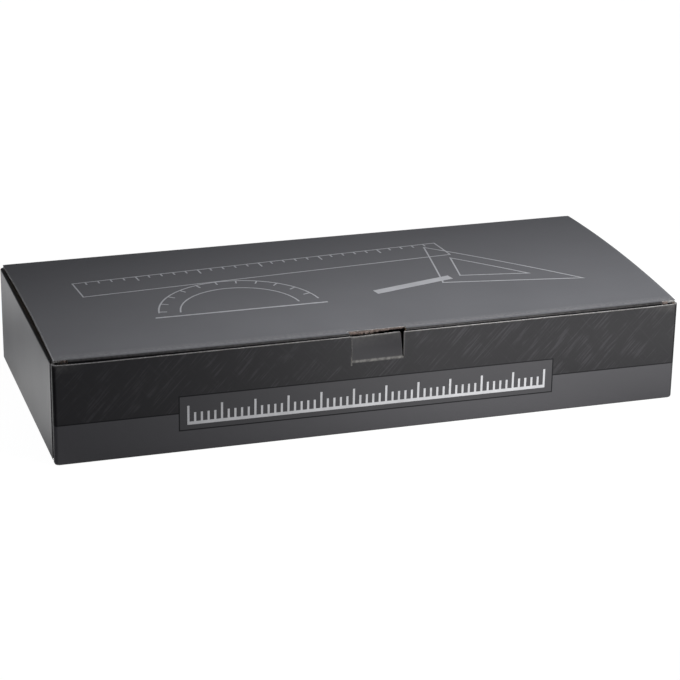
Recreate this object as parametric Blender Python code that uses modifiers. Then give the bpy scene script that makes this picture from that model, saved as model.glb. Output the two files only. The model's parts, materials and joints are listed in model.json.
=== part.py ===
"""A printed mailing carton, closed, with a desktop whiteboard packed inside it.

The carton is one cut and folded sheet of thin corrugated board. Each panel between two folds
is a piece here, bent where the real board is bent: a floor, a front and a back wall, side
walls that roll over at the top and come back down inside, corner flaps caught in the rolled
walls, a bowed lid with a flap that tucks behind the front wall, and a tab cut in the front
wall that presses into a slot on the lid's front fold.

Inside, two foam blocks hold the ends of the whiteboard: a bent metal stand with a pen groove,
a glass panel on a steel backing, tape, feet and a marker.

Metres, +Z up. The origin is on the table, under the middle of the carton. The front faces -Y.
"""
import math

import bmesh
import bpy
from mathutils import Matrix, Vector

# The carton as a whole
CARTON_WIDTH = 0.480
CARTON_DEPTH = 0.216
LID_TOP = 0.079
LID_CROWN = 0.0035

# The corrugated board and how tightly it folds and fits
BOARD = 0.0016
FOLD_INNER_RADIUS = 0.0006
FIT = 0.0003
OVERRUN = 0.004

# Walls, rolled sides and corner flaps
FRONT_WALL_DROP = 0.0023
SIDE_FRONT_SETBACK = 0.010
SIDE_BACK_SETBACK = 0.001
CORNER_FLAP_LENGTH = 0.070
CORNER_FLAP_TAPER = 0.014
FRONT_CORNER_RADIUS = 0.003
FRONT_CORNER_DEPTH = 0.0064
FRONT_CORNER_FOOT = 0.0008
FLAP_STEP_LENGTH = 0.0035
SIDE_TAB_LENGTH = 0.040
SIDE_TAB_SPACING = 0.112
SIDE_TAB_REVEAL = 0.0002
SLOT_CLEARANCE = 0.0004

# The lid and its tuck flap
LID_SIDE_INSET = 0.002
LID_EDGE_RADIUS = 0.0013
LID_CORNER_SETBACK = 0.0012
TUCK_INSET = 0.010
TUCK_DEPTH = 0.032
TUCK_CORNER_RADIUS = 0.012
TUCK_CLEARANCE = 0.0004
TUCK_LEAN = math.radians(12)

# The press-in lock in the middle of the front
LOCK_OFFSET = 0.0008
LOCK_WIDTH = 0.0403
LOCK_DEPTH = 0.0194
LOCK_SIDE_GAP = 0.0007
LOCK_TAB_SHIFT = -0.0003
LOCK_CREASE_GAP = 0.0004
LOCK_TOP_STEP = 0.0008
LOCK_CORNER_RADIUS = 0.0012
LOCK_SLOT_MARGIN = 0.0015
LOCK_SLOT_SETBACK = 0.003
LOCK_WINDOW_DEPTH = 0.018
LOCK_LEAN = math.radians(4)

# How the whiteboard sits in the carton
PACK_MARGIN = 0.008
HEADROOM = 0.014
BLOCK_THICKNESS = 0.022
BLOCK_BACK = 0.012
BLOCK_TOP_GAP = 0.001
BLOCK_EDGE_RADIUS = 0.0015
FLAP_BAY = 0.004
POCKET_CLEARANCE = 0.0004

# The bent metal stand
SHEET = 0.0012
SHEET_INNER_RADIUS = 0.0012
REAR_BEND_RADIUS = 0.012
RIM_WIDTH = 0.0065
GROOVE_WIDTH = 0.017
GROOVE_DEPTH = 0.0115
FRONT_LIP_HEIGHT = 0.010

# The writing panel and what holds it down
GLASS = 0.0032
GLASS_CORNER_RADIUS = 0.005
GLASS_EDGE_RADIUS = 0.0005
PANEL_MARGIN = 0.003
BACKING = 0.0006
BACKING_INSET = 0.003
TAPE = 0.0008
TAPE_WIDTH = 0.020
TAPE_INSET = 0.012

# The feet under the stand
FOOT_RADIUS = 0.007
FOOT_HEIGHT = 0.0025
FOOT_EDGE = 0.0008
FOOT_END_INSET = 0.034
FOOT_SIDE_INSET = 0.022

# The marker in the pen groove
MARKER_LENGTH = 0.136
MARKER_RADIUS = 0.00625
MARKER_START = -0.030
MARKER_WALL = 0.0011
MARKER_EDGE = 0.0008
CAP_LENGTH = 0.046
CAP_END_WALL = 0.003
NECK_LENGTH = 0.010
NECK_STEP = 0.0014
RESERVOIR_END_GAP = 0.004
NIB_HOLDER_LENGTH = 0.013
NIB_HOLDER_SEAT = 0.007
NIB_HOLDER_TIP = 0.0012
NIB_RADIUS = 0.0022
NIB_REACH = 0.006
ROUND_NIB_SHARE = 0.9
PLUG_SEAT = 0.007
PLUG_HEAD = 0.0035

# How finely the bends are drawn
BEND_STEP = math.radians(18)
CROWN_STEPS = 16
TURN_STEPS = 24

# Sizes that follow from the ones above
HALF_WIDTH = CARTON_WIDTH / 2
HALF_DEPTH = CARTON_DEPTH / 2
FOLD_RADIUS = FOLD_INNER_RADIUS + BOARD
FLOOR_TOP = BOARD
LID_UNDERSIDE = LID_TOP - BOARD
ROLL_TOP = LID_UNDERSIDE - FIT
FRONT_WALL_TOP = LID_TOP - FRONT_WALL_DROP
ROLL_WIDTH = 3 * BOARD + 2 * FIT
INNER_X = HALF_WIDTH - ROLL_WIDTH
INNER_Y = HALF_DEPTH - BOARD
CORNER_X = HALF_WIDTH - BOARD - FIT - FOLD_RADIUS
FRONT_CORNER_X = HALF_WIDTH - FRONT_CORNER_RADIUS
LID_HALF_WIDTH = HALF_WIDTH - LID_SIDE_INSET
TUCK_HALF_WIDTH = LID_HALF_WIDTH - TUCK_INSET
TUCK_FACE = -(INNER_Y - TUCK_CLEARANCE)
TUCK_TOP = (BOARD + FIT + BOARD * math.sin(TUCK_LEAN)) / math.cos(TUCK_LEAN)
TUCK_REACH_IN = TUCK_CLEARANCE + TUCK_DEPTH * math.sin(TUCK_LEAN) + BOARD
TUCK_REACH_DOWN = TUCK_DEPTH * math.cos(TUCK_LEAN) + BOARD * math.sin(TUCK_LEAN)
LOCK_CREASE = FRONT_WALL_TOP - LOCK_DEPTH
STAND_HALF_LENGTH = INNER_X - FIT - BLOCK_BACK - FIT
STAND_REAR = INNER_Y - PACK_MARGIN
STAND_FRONT = -STAND_REAR
STAND_BASE = FLOOR_TOP + FIT + FOOT_HEIGHT + FIT
STAND_TOP = LID_UNDERSIDE - HEADROOM
SHEET_BEND = SHEET_INNER_RADIUS + SHEET
GROOVE_FLOOR = STAND_TOP - GROOVE_DEPTH
GROOVE_REAR = STAND_REAR - RIM_WIDTH
GROOVE_FRONT = GROOVE_REAR - GROOVE_WIDTH
STACK = FIT + TAPE + FIT + BACKING + FIT + GLASS
SLOPE_REAR_TOP = STAND_TOP - STACK
SLOPE_FRONT_TOP = STAND_BASE + FRONT_LIP_HEIGHT
SLOPE = math.atan2(SLOPE_REAR_TOP - SLOPE_FRONT_TOP, GROOVE_FRONT - STAND_FRONT)
SLOPE_LENGTH = math.hypot(SLOPE_REAR_TOP - SLOPE_FRONT_TOP, GROOVE_FRONT - STAND_FRONT)
NECK_RADIUS = MARKER_RADIUS - NECK_STEP
BORE_RADIUS = NECK_RADIUS - MARKER_WALL
BARREL_LENGTH = MARKER_LENGTH - CAP_LENGTH
MARKER_AXIS = Vector((MARKER_START, (GROOVE_FRONT + GROOVE_REAR) / 2,
                      GROOVE_FLOOR + FIT + MARKER_RADIUS))


def clear_scene():
    """Empty the scene that Blender opens with."""
    for thing in list(bpy.data.objects):
        bpy.data.objects.remove(thing, do_unlink=True)


def new_collection(name):
    """A collection of the scene, for the pieces or for the shapes that cut them."""
    collection = bpy.data.collections.new(name)
    bpy.context.scene.collection.children.link(collection)
    return collection


clear_scene()
PIECES = new_collection("packed_desktop_whiteboard")
CUTTERS = new_collection("cutters")


def finish(name, colour, roughness, metallic=0.0):
    """A plain Principled material."""
    material = bpy.data.materials.new(name)
    material.use_nodes = True
    shader = material.node_tree.nodes["Principled BSDF"]
    shader.inputs["Base Color"].default_value = (*colour, 1.0)
    shader.inputs["Roughness"].default_value = roughness
    shader.inputs["Metallic"].default_value = metallic
    return material


def put(name, mesh, material, collection=None):
    """Make an object of a mesh and link it."""
    thing = bpy.data.objects.new(name, mesh)
    if material:
        mesh.materials.append(material)
    (collection or PIECES).objects.link(thing)
    return thing


def to_space(axis, along, a, b):
    """A point of a section placed in space, the section lying across the named axis."""
    return Vector({"X": (along, a, b), "Y": (a, along, b), "Z": (a, b, along)}[axis])


def rounded(points, radii, closed=False):
    """The corners of a path turned into arcs, each with its own radius."""
    path = []
    count = len(points)
    for index, (point, radius) in enumerate(zip(points, radii)):
        at_end = not closed and index in (0, count - 1)
        if at_end or not radius:
            path.append(Vector(point))
            continue
        here = Vector(point)
        back = (Vector(points[index - 1]) - here).normalized()
        onward = (Vector(points[(index + 1) % count]) - here).normalized()
        half = back.angle(onward) / 2
        centre = here + (back + onward).normalized() * radius / math.sin(half)
        start = here + back * radius / math.tan(half) - centre
        turn = math.pi - 2 * half
        if back.cross(onward) > 0:
            turn = -turn
        steps = max(2, math.ceil(abs(turn) / BEND_STEP))
        path += [centre + Matrix.Rotation(turn * step / steps, 2) @ start for step in range(steps + 1)]
    apart = [here for here, before in zip(path, path[-1:] + path) if (here - before).length > FIT / 100]
    return [tuple(point) for point in apart]


def mirrored(path, side):
    """A path drawn on the right, or the same on the left, run the other way round."""
    return [(side * a, b) for a, b in path][::side]


def shade(mesh):
    """Shade round parts smooth and keep the cut edges sharp."""
    mesh.shade_smooth()
    mesh.set_sharp_from_angle(angle=math.radians(40))


def bent_sheet(name, path, axis, low, high, thickness, material):
    """A sheet bent along a path: the path is its outer face, and the sheet lies on its left."""
    mesh = bpy.data.meshes.new(name)
    sheet = bmesh.new()
    verts = [sheet.verts.new(to_space(axis, low, *point)) for point in path]
    edges = [sheet.edges.new(pair) for pair in zip(verts, verts[1:])]
    swept = bmesh.ops.extrude_edge_only(sheet, edges=edges)["geom"]
    moved = [item for item in swept if isinstance(item, bmesh.types.BMVert)]
    bmesh.ops.translate(sheet, verts=moved, vec=to_space(axis, high - low, 0, 0))
    bmesh.ops.recalc_face_normals(sheet, faces=sheet.faces)
    run = Vector(path[1]) - Vector(path[0])
    first = edges[0].link_faces[0]
    if first.normal.dot(to_space(axis, 0, run.y, -run.x)) < 0:
        bmesh.ops.reverse_faces(sheet, faces=sheet.faces)
    sheet.to_mesh(mesh)
    sheet.free()
    thing = put(name, mesh, material)
    shell = thing.modifiers.new("thickness", "SOLIDIFY")
    shell.thickness = thickness
    shell.offset = -1
    shell.use_even_offset = True
    shade(mesh)
    return thing


def flat_mesh(name, outlines, thickness):
    """A flat piece: the first outline, less any others, in the XY plane, centred on it."""
    curve = bpy.data.curves.new(name, "CURVE")
    curve.dimensions = "2D"
    curve.fill_mode = "BOTH"
    curve.extrude = thickness / 2
    for outline in outlines:
        spline = curve.splines.new("POLY")
        spline.points.add(len(outline) - 1)
        for point, (a, b) in zip(spline.points, outline):
            point.co = (a, b, 0, 1)
        spline.use_cyclic_u = True
    guide = bpy.data.objects.new(name + "_outline", curve)
    bpy.context.scene.collection.objects.link(guide)
    bpy.context.view_layer.update()
    mesh = bpy.data.meshes.new_from_object(guide.evaluated_get(bpy.context.evaluated_depsgraph_get()))
    mesh.name = name
    bpy.data.objects.remove(guide)
    bpy.data.curves.remove(curve)
    solid = bmesh.new()
    solid.from_mesh(mesh)
    bmesh.ops.remove_doubles(solid, verts=solid.verts, dist=FIT / 100)
    bmesh.ops.recalc_face_normals(solid, faces=solid.faces)
    solid.to_mesh(mesh)
    solid.free()
    return mesh


def across_x(middle):
    """Turn a flat mesh so that its outline lies in YZ and its thickness runs along X."""
    return Matrix(((0, 0, 1, middle), (1, 0, 0, 0), (0, 1, 0, 0), (0, 0, 0, 1)))


def section(name, outline, low, high, material, collection=None):
    """A solid with one YZ section all along X, between two ends."""
    mesh = flat_mesh(name, [outline], high - low)
    mesh.transform(across_x((low + high) / 2))
    shade(mesh)
    return put(name, mesh, material, collection)


def box_mesh(name, boxes):
    """Separate boxes, each given by its lowest and highest corner, in one mesh."""
    mesh = bpy.data.meshes.new(name)
    solid = bmesh.new()
    for low, high in boxes:
        size = Vector(high) - Vector(low)
        middle = (Vector(high) + Vector(low)) / 2
        place = Matrix.Translation(middle) @ Matrix.Diagonal((*size, 1))
        bmesh.ops.create_cube(solid, size=1, matrix=place)
    solid.to_mesh(mesh)
    solid.free()
    return mesh


def cut(thing, cutter):
    """Take the cutter's shape out of a piece."""
    cutter.hide_render = True
    cutter.display_type = "WIRE"
    step = thing.modifiers.new("cut", "BOOLEAN")
    step.operation = "DIFFERENCE"
    step.solver = "EXACT"
    step.object = cutter


def cut_boxes(thing, boxes):
    """Take boxes out of a piece."""
    cutter = put(thing.name + "_cutter", box_mesh(thing.name + "_cutter", boxes), None, CUTTERS)
    cut(thing, cutter)


def turned(name, profile, place, material, steps=TURN_STEPS):
    """A turned piece: (radius, height) points run down its outer side, from top to bottom."""
    mesh = bpy.data.meshes.new(name)
    line = bmesh.new()
    verts = [line.verts.new((radius, 0, height)) for radius, height in profile]
    loop = verts if profile[0][0] == 0 else verts + verts[:1]
    for pair in zip(loop, loop[1:]):
        line.edges.new(pair)
    line.to_mesh(mesh)
    line.free()
    thing = put(name, mesh, material)
    thing.matrix_world = place
    screw = thing.modifiers.new("turn", "SCREW")
    screw.axis = "Z"
    screw.steps = steps
    screw.render_steps = steps
    screw.use_merge_vertices = True
    screw.merge_threshold = FIT / 100
    screw.use_smooth_shade = True
    return thing


# Finishes
print_black = finish("black_print", (0.028, 0.027, 0.029), 0.45)
kraft = finish("kraft_board", (0.36, 0.24, 0.145), 0.85)
foam = finish("white_foam", (0.80, 0.80, 0.78), 0.9)
stand_paint = finish("stand_paint", (0.72, 0.72, 0.71), 0.45)
white_glass = finish("white_glass", (0.88, 0.89, 0.89), 0.05)
zinc_steel = finish("zinc_steel", (0.55, 0.56, 0.57), 0.35, 1.0)
grey_tape = finish("grey_tape", (0.30, 0.31, 0.32), 0.7)
foot_rubber = finish("foot_rubber", (0.03, 0.03, 0.03), 0.8)
marker_white = finish("marker_white", (0.78, 0.78, 0.77), 0.3)
marker_black = finish("marker_black", (0.02, 0.02, 0.022), 0.3)
marker_felt = finish("marker_felt", (0.035, 0.035, 0.04), 0.95)


def side_tab_centres():
    """Where along the depth the two tabs of a rolled wall go through the floor."""
    return (-SIDE_TAB_SPACING / 2, SIDE_TAB_SPACING / 2)


def carton_floor():
    """The floor panel, with a slot for each tab of the rolled side walls."""
    half_x = HALF_WIDTH - FOLD_RADIUS - FIT
    half_y = HALF_DEPTH - FOLD_RADIUS - FIT
    outlines = [[(-half_x, -half_y), (half_x, -half_y), (half_x, half_y), (-half_x, half_y)]]
    for side in (-1, 1):
        for centre in side_tab_centres():
            near = side * (INNER_X - SLOT_CLEARANCE)
            far = side * (INNER_X + BOARD + SLOT_CLEARANCE)
            half = SIDE_TAB_LENGTH / 2 + SLOT_CLEARANCE
            outlines.append([(near, centre - half), (far, centre - half),
                             (far, centre + half), (near, centre + half)])
    mesh = flat_mesh("carton_floor", outlines, BOARD)
    mesh.transform(Matrix.Translation((0, 0, BOARD / 2)))
    put("carton_floor", mesh, kraft)


def front_wall():
    """The front wall: a rounded bottom fold, a raw top edge and the cut for the lock tab."""
    path = rounded([(-HALF_DEPTH, FRONT_WALL_TOP), (-HALF_DEPTH, 0), (-HALF_DEPTH + FOLD_RADIUS, 0)],
                   [0, FOLD_RADIUS, 0])
    reach = FRONT_CORNER_X - FIT
    wall = bent_sheet("front_wall", path, "X", -reach, reach, BOARD, print_black)
    low = (LOCK_OFFSET - LOCK_WIDTH / 2, -HALF_DEPTH - OVERRUN, LOCK_CREASE)
    high = (LOCK_OFFSET + LOCK_WIDTH / 2, -INNER_Y + OVERRUN, FRONT_WALL_TOP + OVERRUN)
    cut_boxes(wall, [(low, high)])


def back_wall():
    """The back wall, from its bottom fold up to the lid's hinge fold."""
    path = rounded([(HALF_DEPTH - FOLD_RADIUS, 0), (HALF_DEPTH, 0), (HALF_DEPTH, ROLL_TOP)],
                   [0, FOLD_RADIUS, 0])
    reach = CORNER_X - FIT
    bent_sheet("back_wall", path, "X", -reach, reach, BOARD, print_black)


def side_wall(label, side):
    """An outer side wall: bottom fold, wall, and the outer half of the rolled top."""
    crest = HALF_WIDTH - ROLL_WIDTH / 2
    path = rounded([(HALF_WIDTH - FOLD_RADIUS, 0), (HALF_WIDTH, 0), (HALF_WIDTH, ROLL_TOP),
                    (crest, ROLL_TOP)], [0, FOLD_RADIUS, FOLD_RADIUS, 0])
    bent_sheet("side_wall_" + label, mirrored(path, side), "Y", SIDE_FRONT_SETBACK - HALF_DEPTH,
               HALF_DEPTH - SIDE_BACK_SETBACK, BOARD, print_black)


def side_roll(label, side):
    """The rolled-in half: over the top, down inside, and two tabs through the floor."""
    crest = HALF_WIDTH - ROLL_WIDTH / 2 - FIT
    path = rounded([(crest, ROLL_TOP), (INNER_X, ROLL_TOP), (INNER_X, SIDE_TAB_REVEAL)],
                   [0, FOLD_RADIUS, 0])
    reach = HALF_DEPTH - BOARD - FOLD_INNER_RADIUS
    wall = bent_sheet("side_roll_" + label, mirrored(path, side), "Y", -reach, reach, BOARD, print_black)
    edges = [-reach - OVERRUN]
    for centre in side_tab_centres():
        edges += [centre - SIDE_TAB_LENGTH / 2, centre + SIDE_TAB_LENGTH / 2]
    edges.append(reach + OVERRUN)
    ends = sorted((side * (INNER_X - OVERRUN), side * (INNER_X + BOARD + OVERRUN)))
    cut_boxes(wall, [((ends[0], start, -OVERRUN), (ends[1], end, FLOOR_TOP + FIT))
                     for start, end in zip(edges[::2], edges[1::2])])


def corner_flap(label, side, end):
    """A corner flap: a rounded vertical fold, then a flap caught in the rolled side wall.

    A front one has the wider fold that shows at the carton's front corners: it takes up the
    carton's whole width and height there, and steps in behind the side wall's raw end."""
    name = ("front" if end < 0 else "back") + "_corner_flap_" + label
    face = CORNER_X + FOLD_RADIUS
    tip = HALF_DEPTH - CORNER_FLAP_LENGTH
    base = FLOOR_TOP + FOLD_INNER_RADIUS + FIT
    top = ROLL_TOP - BOARD - FIT
    ends = sorted((side * (face - BOARD - OVERRUN), side * (face + OVERRUN)))
    if end > 0:
        path = rounded([(CORNER_X, -HALF_DEPTH), (face, -HALF_DEPTH), (face, -tip)], [0, FOLD_RADIUS, 0])
        path = [(a, -b) for a, b in mirrored(path, side)][::-1]
        flap = bent_sheet(name, path, "Z", base, top, BOARD, print_black)
    else:
        step_end = SIDE_FRONT_SETBACK - 2 * FIT - HALF_DEPTH
        path = rounded([(FRONT_CORNER_X, -HALF_DEPTH), (HALF_WIDTH, -HALF_DEPTH),
                        (HALF_WIDTH, step_end - FLAP_STEP_LENGTH), (face, step_end), (face, -tip)],
                       [0, FRONT_CORNER_RADIUS, FOLD_RADIUS, FOLD_INNER_RADIUS, 0])
        flap = bent_sheet(name, mirrored(path, side), "Z", FRONT_CORNER_FOOT, FRONT_WALL_TOP, BOARD, print_black)
        behind = FRONT_CORNER_DEPTH - HALF_DEPTH
        cut_boxes(flap, [((ends[0], behind, -OVERRUN), (ends[1], OVERRUN - tip, base)),
                         ((ends[0], behind, top), (ends[1], OVERRUN - tip, FRONT_WALL_TOP + OVERRUN))])
    past = tip - OVERRUN
    outline = [(end * (tip + CORNER_FLAP_TAPER + OVERRUN / 2), base - OVERRUN),
               (end * past, base + CORNER_FLAP_TAPER * 2 + OVERRUN * 2), (end * past, base - OVERRUN)]
    cut(flap, section(name + "_taper", outline, ends[0], ends[1], None, CUTTERS))


def crown(y):
    """How far the bowed lid stands above its two folds."""
    back = HALF_DEPTH - FIT
    share = (y - TUCK_FACE) / (back - TUCK_FACE)
    return LID_CROWN * 4 * share * (1 - share)


def lid():
    """The lid: bowed between its folds, with the lock slot cut back from its front fold."""
    back = HALF_DEPTH - FIT
    stations = [TUCK_FACE + (back - TUCK_FACE) * step / CROWN_STEPS for step in range(CROWN_STEPS + 1)]
    under = [(y, LID_UNDERSIDE + crown(y)) for y in stations]
    over = [(y, LID_TOP + crown(y)) for y in reversed(stations)]
    radii = [0] * len(under) + [LID_EDGE_RADIUS] + [0] * (len(over) - 2) + [LID_EDGE_RADIUS]
    outline = rounded(under + over, radii, closed=True)
    panel = section("lid_panel", outline, -LID_HALF_WIDTH, LID_HALF_WIDTH, print_black)
    half = LOCK_WIDTH / 2 + LOCK_SLOT_MARGIN
    base = LID_UNDERSIDE - OVERRUN
    top = LID_TOP + OVERRUN
    near = TUCK_FACE - OVERRUN
    slot = ((LOCK_OFFSET - half, near, base), (LOCK_OFFSET + half, TUCK_FACE + LOCK_SLOT_SETBACK, top))
    boxes = [slot]
    for side in (-1, 1):
        ends = sorted((side * TUCK_HALF_WIDTH, side * (LID_HALF_WIDTH + OVERRUN)))
        boxes.append(((ends[0], near, base), (ends[1], TUCK_FACE + LID_CORNER_SETBACK, top)))
    cut_boxes(panel, boxes)
    to_hinge(panel, Vector((0, HALF_DEPTH, LID_UNDERSIDE)))


def to_hinge(thing, hinge):
    """Move a piece's origin onto its hinge and leave its shape where it is."""
    thing.data.transform(Matrix.Translation(-hinge))
    thing.location = hinge


def tuck_flap():
    """The flap that tucks behind the front wall, leaning inwards, with the lock's window."""
    half = TUCK_HALF_WIDTH
    window = LOCK_WIDTH / 2 + LOCK_SLOT_MARGIN
    points = [(-half, -TUCK_TOP), (-half, -TUCK_DEPTH), (half, -TUCK_DEPTH), (half, -TUCK_TOP),
              (LOCK_OFFSET + window, -TUCK_TOP), (LOCK_OFFSET + window, -LOCK_WINDOW_DEPTH),
              (LOCK_OFFSET - window, -LOCK_WINDOW_DEPTH), (LOCK_OFFSET - window, -TUCK_TOP)]
    corner = TUCK_CORNER_RADIUS
    lock_corner = LOCK_CORNER_RADIUS
    outline = rounded(points, [0, corner, corner, 0, 0, lock_corner, lock_corner, 0], closed=True)
    mesh = flat_mesh("tuck_flap", [outline], BOARD)
    mesh.transform(Matrix.Rotation(math.pi / 2, 4, "X"))
    mesh.transform(Matrix.Translation((0, BOARD / 2, 0)))
    mesh.transform(Matrix.Rotation(TUCK_LEAN, 4, "X"))
    flap = put("tuck_flap", mesh, print_black)
    flap.location = (0, TUCK_FACE, LID_TOP)


def lock_tab():
    """The tab cut in the front wall, pressed in a little at the top."""
    half = LOCK_WIDTH / 2 - LOCK_SIDE_GAP
    top = LOCK_DEPTH - LOCK_TOP_STEP
    outline = rounded([(-half, LOCK_CREASE_GAP), (half, LOCK_CREASE_GAP), (half, top), (-half, top)],
                      [0, 0, LOCK_CORNER_RADIUS, LOCK_CORNER_RADIUS], closed=True)
    mesh = flat_mesh("lock_tab", [outline], BOARD)
    mesh.transform(Matrix.Rotation(math.pi / 2, 4, "X"))
    mesh.transform(Matrix.Translation((LOCK_OFFSET + LOCK_TAB_SHIFT, BOARD / 2, 0)))
    mesh.transform(Matrix.Rotation(-LOCK_LEAN, 4, "X"))
    tab = put("lock_tab", mesh, print_black)
    tab.location = (0, -HALF_DEPTH, LOCK_CREASE)


def end_block(label, side):
    """A foam block that fills one end of the carton and takes the end of the whiteboard."""
    front = -(INNER_Y - FIT)
    back = INNER_Y - FIT
    base = FLOOR_TOP + FIT
    top = LID_UNDERSIDE - BLOCK_TOP_GAP
    bay_back = -INNER_Y + TUCK_REACH_IN + FLAP_BAY
    bay_floor = LID_TOP - TUCK_REACH_DOWN - FLAP_BAY
    edge = BLOCK_EDGE_RADIUS
    outline = rounded([(front, base), (back, base), (back, top), (bay_back, top),
                       (bay_back, bay_floor), (front, bay_floor)],
                      [edge, edge, edge, edge, edge, edge], closed=True)
    outer = INNER_X - FIT
    ends = sorted((side * outer, side * (outer - BLOCK_THICKNESS)))
    block = section("end_block_" + label, outline, ends[0], ends[1], foam)
    gap = POCKET_CLEARANCE
    glass_front = SLOPE_FRONT_TOP + STACK
    pocket = rounded([(STAND_FRONT - gap, STAND_BASE - gap), (STAND_REAR + gap, STAND_BASE - gap),
                      (STAND_REAR + gap, STAND_TOP + gap), (GROOVE_FRONT, STAND_TOP + gap),
                      (STAND_FRONT - gap, glass_front + gap)], [0, REAR_BEND_RADIUS, 0, 0, 0], closed=True)
    deep = STAND_HALF_LENGTH + gap
    mouth = outer - BLOCK_THICKNESS - OVERRUN
    ends = sorted((side * deep, side * mouth))
    cut(block, section(block.name + "_cutter", pocket, ends[0], ends[1], None, CUTTERS))


def stand():
    """The stand: one metal sheet bent round a wedge, with a pen groove along its high edge."""
    seam = STAND_FRONT + SHEET + FIT
    points = [(seam, STAND_BASE), (STAND_REAR, STAND_BASE), (STAND_REAR, STAND_TOP),
              (GROOVE_REAR, STAND_TOP), (GROOVE_REAR, GROOVE_FLOOR), (GROOVE_FRONT, GROOVE_FLOOR),
              (GROOVE_FRONT, SLOPE_REAR_TOP), (STAND_FRONT, SLOPE_FRONT_TOP), (STAND_FRONT, STAND_BASE)]
    inner = SHEET_INNER_RADIUS
    radii = [0, REAR_BEND_RADIUS, SHEET_BEND, SHEET_BEND, inner, inner, SHEET_BEND, SHEET_BEND, 0]
    bent_sheet("stand", rounded(points, radii), "X", -STAND_HALF_LENGTH, STAND_HALF_LENGTH,
               SHEET, stand_paint)


def on_slope(height):
    """The frame of the stand's sloping top: its middle, raised by a height above the sheet."""
    middle = Vector((0, (STAND_FRONT + GROOVE_FRONT) / 2, (SLOPE_FRONT_TOP + SLOPE_REAR_TOP) / 2))
    return (Matrix.Translation(middle) @ Matrix.Rotation(SLOPE, 4, "X")
            @ Matrix.Translation((0, 0, height)))


def layer(name, half_length, near, far, radius, thickness, height, material):
    """A flat layer on the slope, between two distances from the slope's middle."""
    outline = rounded([(-half_length, near), (half_length, near), (half_length, far), (-half_length, far)],
                      [radius] * 4, closed=True)
    mesh = flat_mesh(name, [outline], thickness)
    thing = put(name, mesh, material)
    thing.matrix_world = on_slope(height + thickness / 2)
    return thing


def writing_panel():
    """The glass on its steel backing, and the two strips of tape that hold them down."""
    half_length = STAND_HALF_LENGTH - PANEL_MARGIN
    half_depth = SLOPE_LENGTH / 2 - PANEL_MARGIN
    tape_length = half_length - BACKING_INSET - TAPE_INSET
    tape_far = half_depth - BACKING_INSET - TAPE_INSET
    rows = (("tape_strip_front", -tape_far), ("tape_strip_rear", tape_far - TAPE_WIDTH))
    for name, near in rows:
        layer(name, tape_length, near, near + TAPE_WIDTH, 0, TAPE, FIT, grey_tape)
    steel = half_depth - BACKING_INSET
    backing_height = FIT + TAPE + FIT
    layer("steel_backing", half_length - BACKING_INSET, -steel, steel, GLASS_CORNER_RADIUS - BACKING_INSET,
          BACKING, backing_height, zinc_steel)
    glass = layer("glass_panel", half_length, -half_depth, half_depth, GLASS_CORNER_RADIUS, GLASS,
                  backing_height + BACKING + FIT, white_glass)
    edge = glass.modifiers.new("ground_edge", "BEVEL")
    edge.width = GLASS_EDGE_RADIUS
    edge.segments = 2
    edge.limit_method = "ANGLE"
    edge.angle_limit = math.radians(60)


def feet():
    """Four rubber feet under the stand, standing on the carton's floor."""
    profile = rounded([(0, FOOT_HEIGHT), (FOOT_RADIUS, FOOT_HEIGHT), (FOOT_RADIUS, 0), (0, 0)],
                      [0, 0, FOOT_EDGE, 0])
    for end, y in (("front", STAND_FRONT + FOOT_SIDE_INSET), ("rear", STAND_REAR - FOOT_SIDE_INSET)):
        for label, side in (("left", -1), ("right", 1)):
            spot = (side * (STAND_HALF_LENGTH - FOOT_END_INSET), y, FLOOR_TOP + FIT)
            turned("foot_" + end + "_" + label, profile, Matrix.Translation(spot), foot_rubber)


def along_marker(distance):
    """A frame on the marker's axis, its Z running towards the cap, at a distance from the tail."""
    return (Matrix.Translation(MARKER_AXIS + Vector((distance, 0, 0)))
            @ Matrix.Rotation(math.pi / 2, 4, "Y"))


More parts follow.
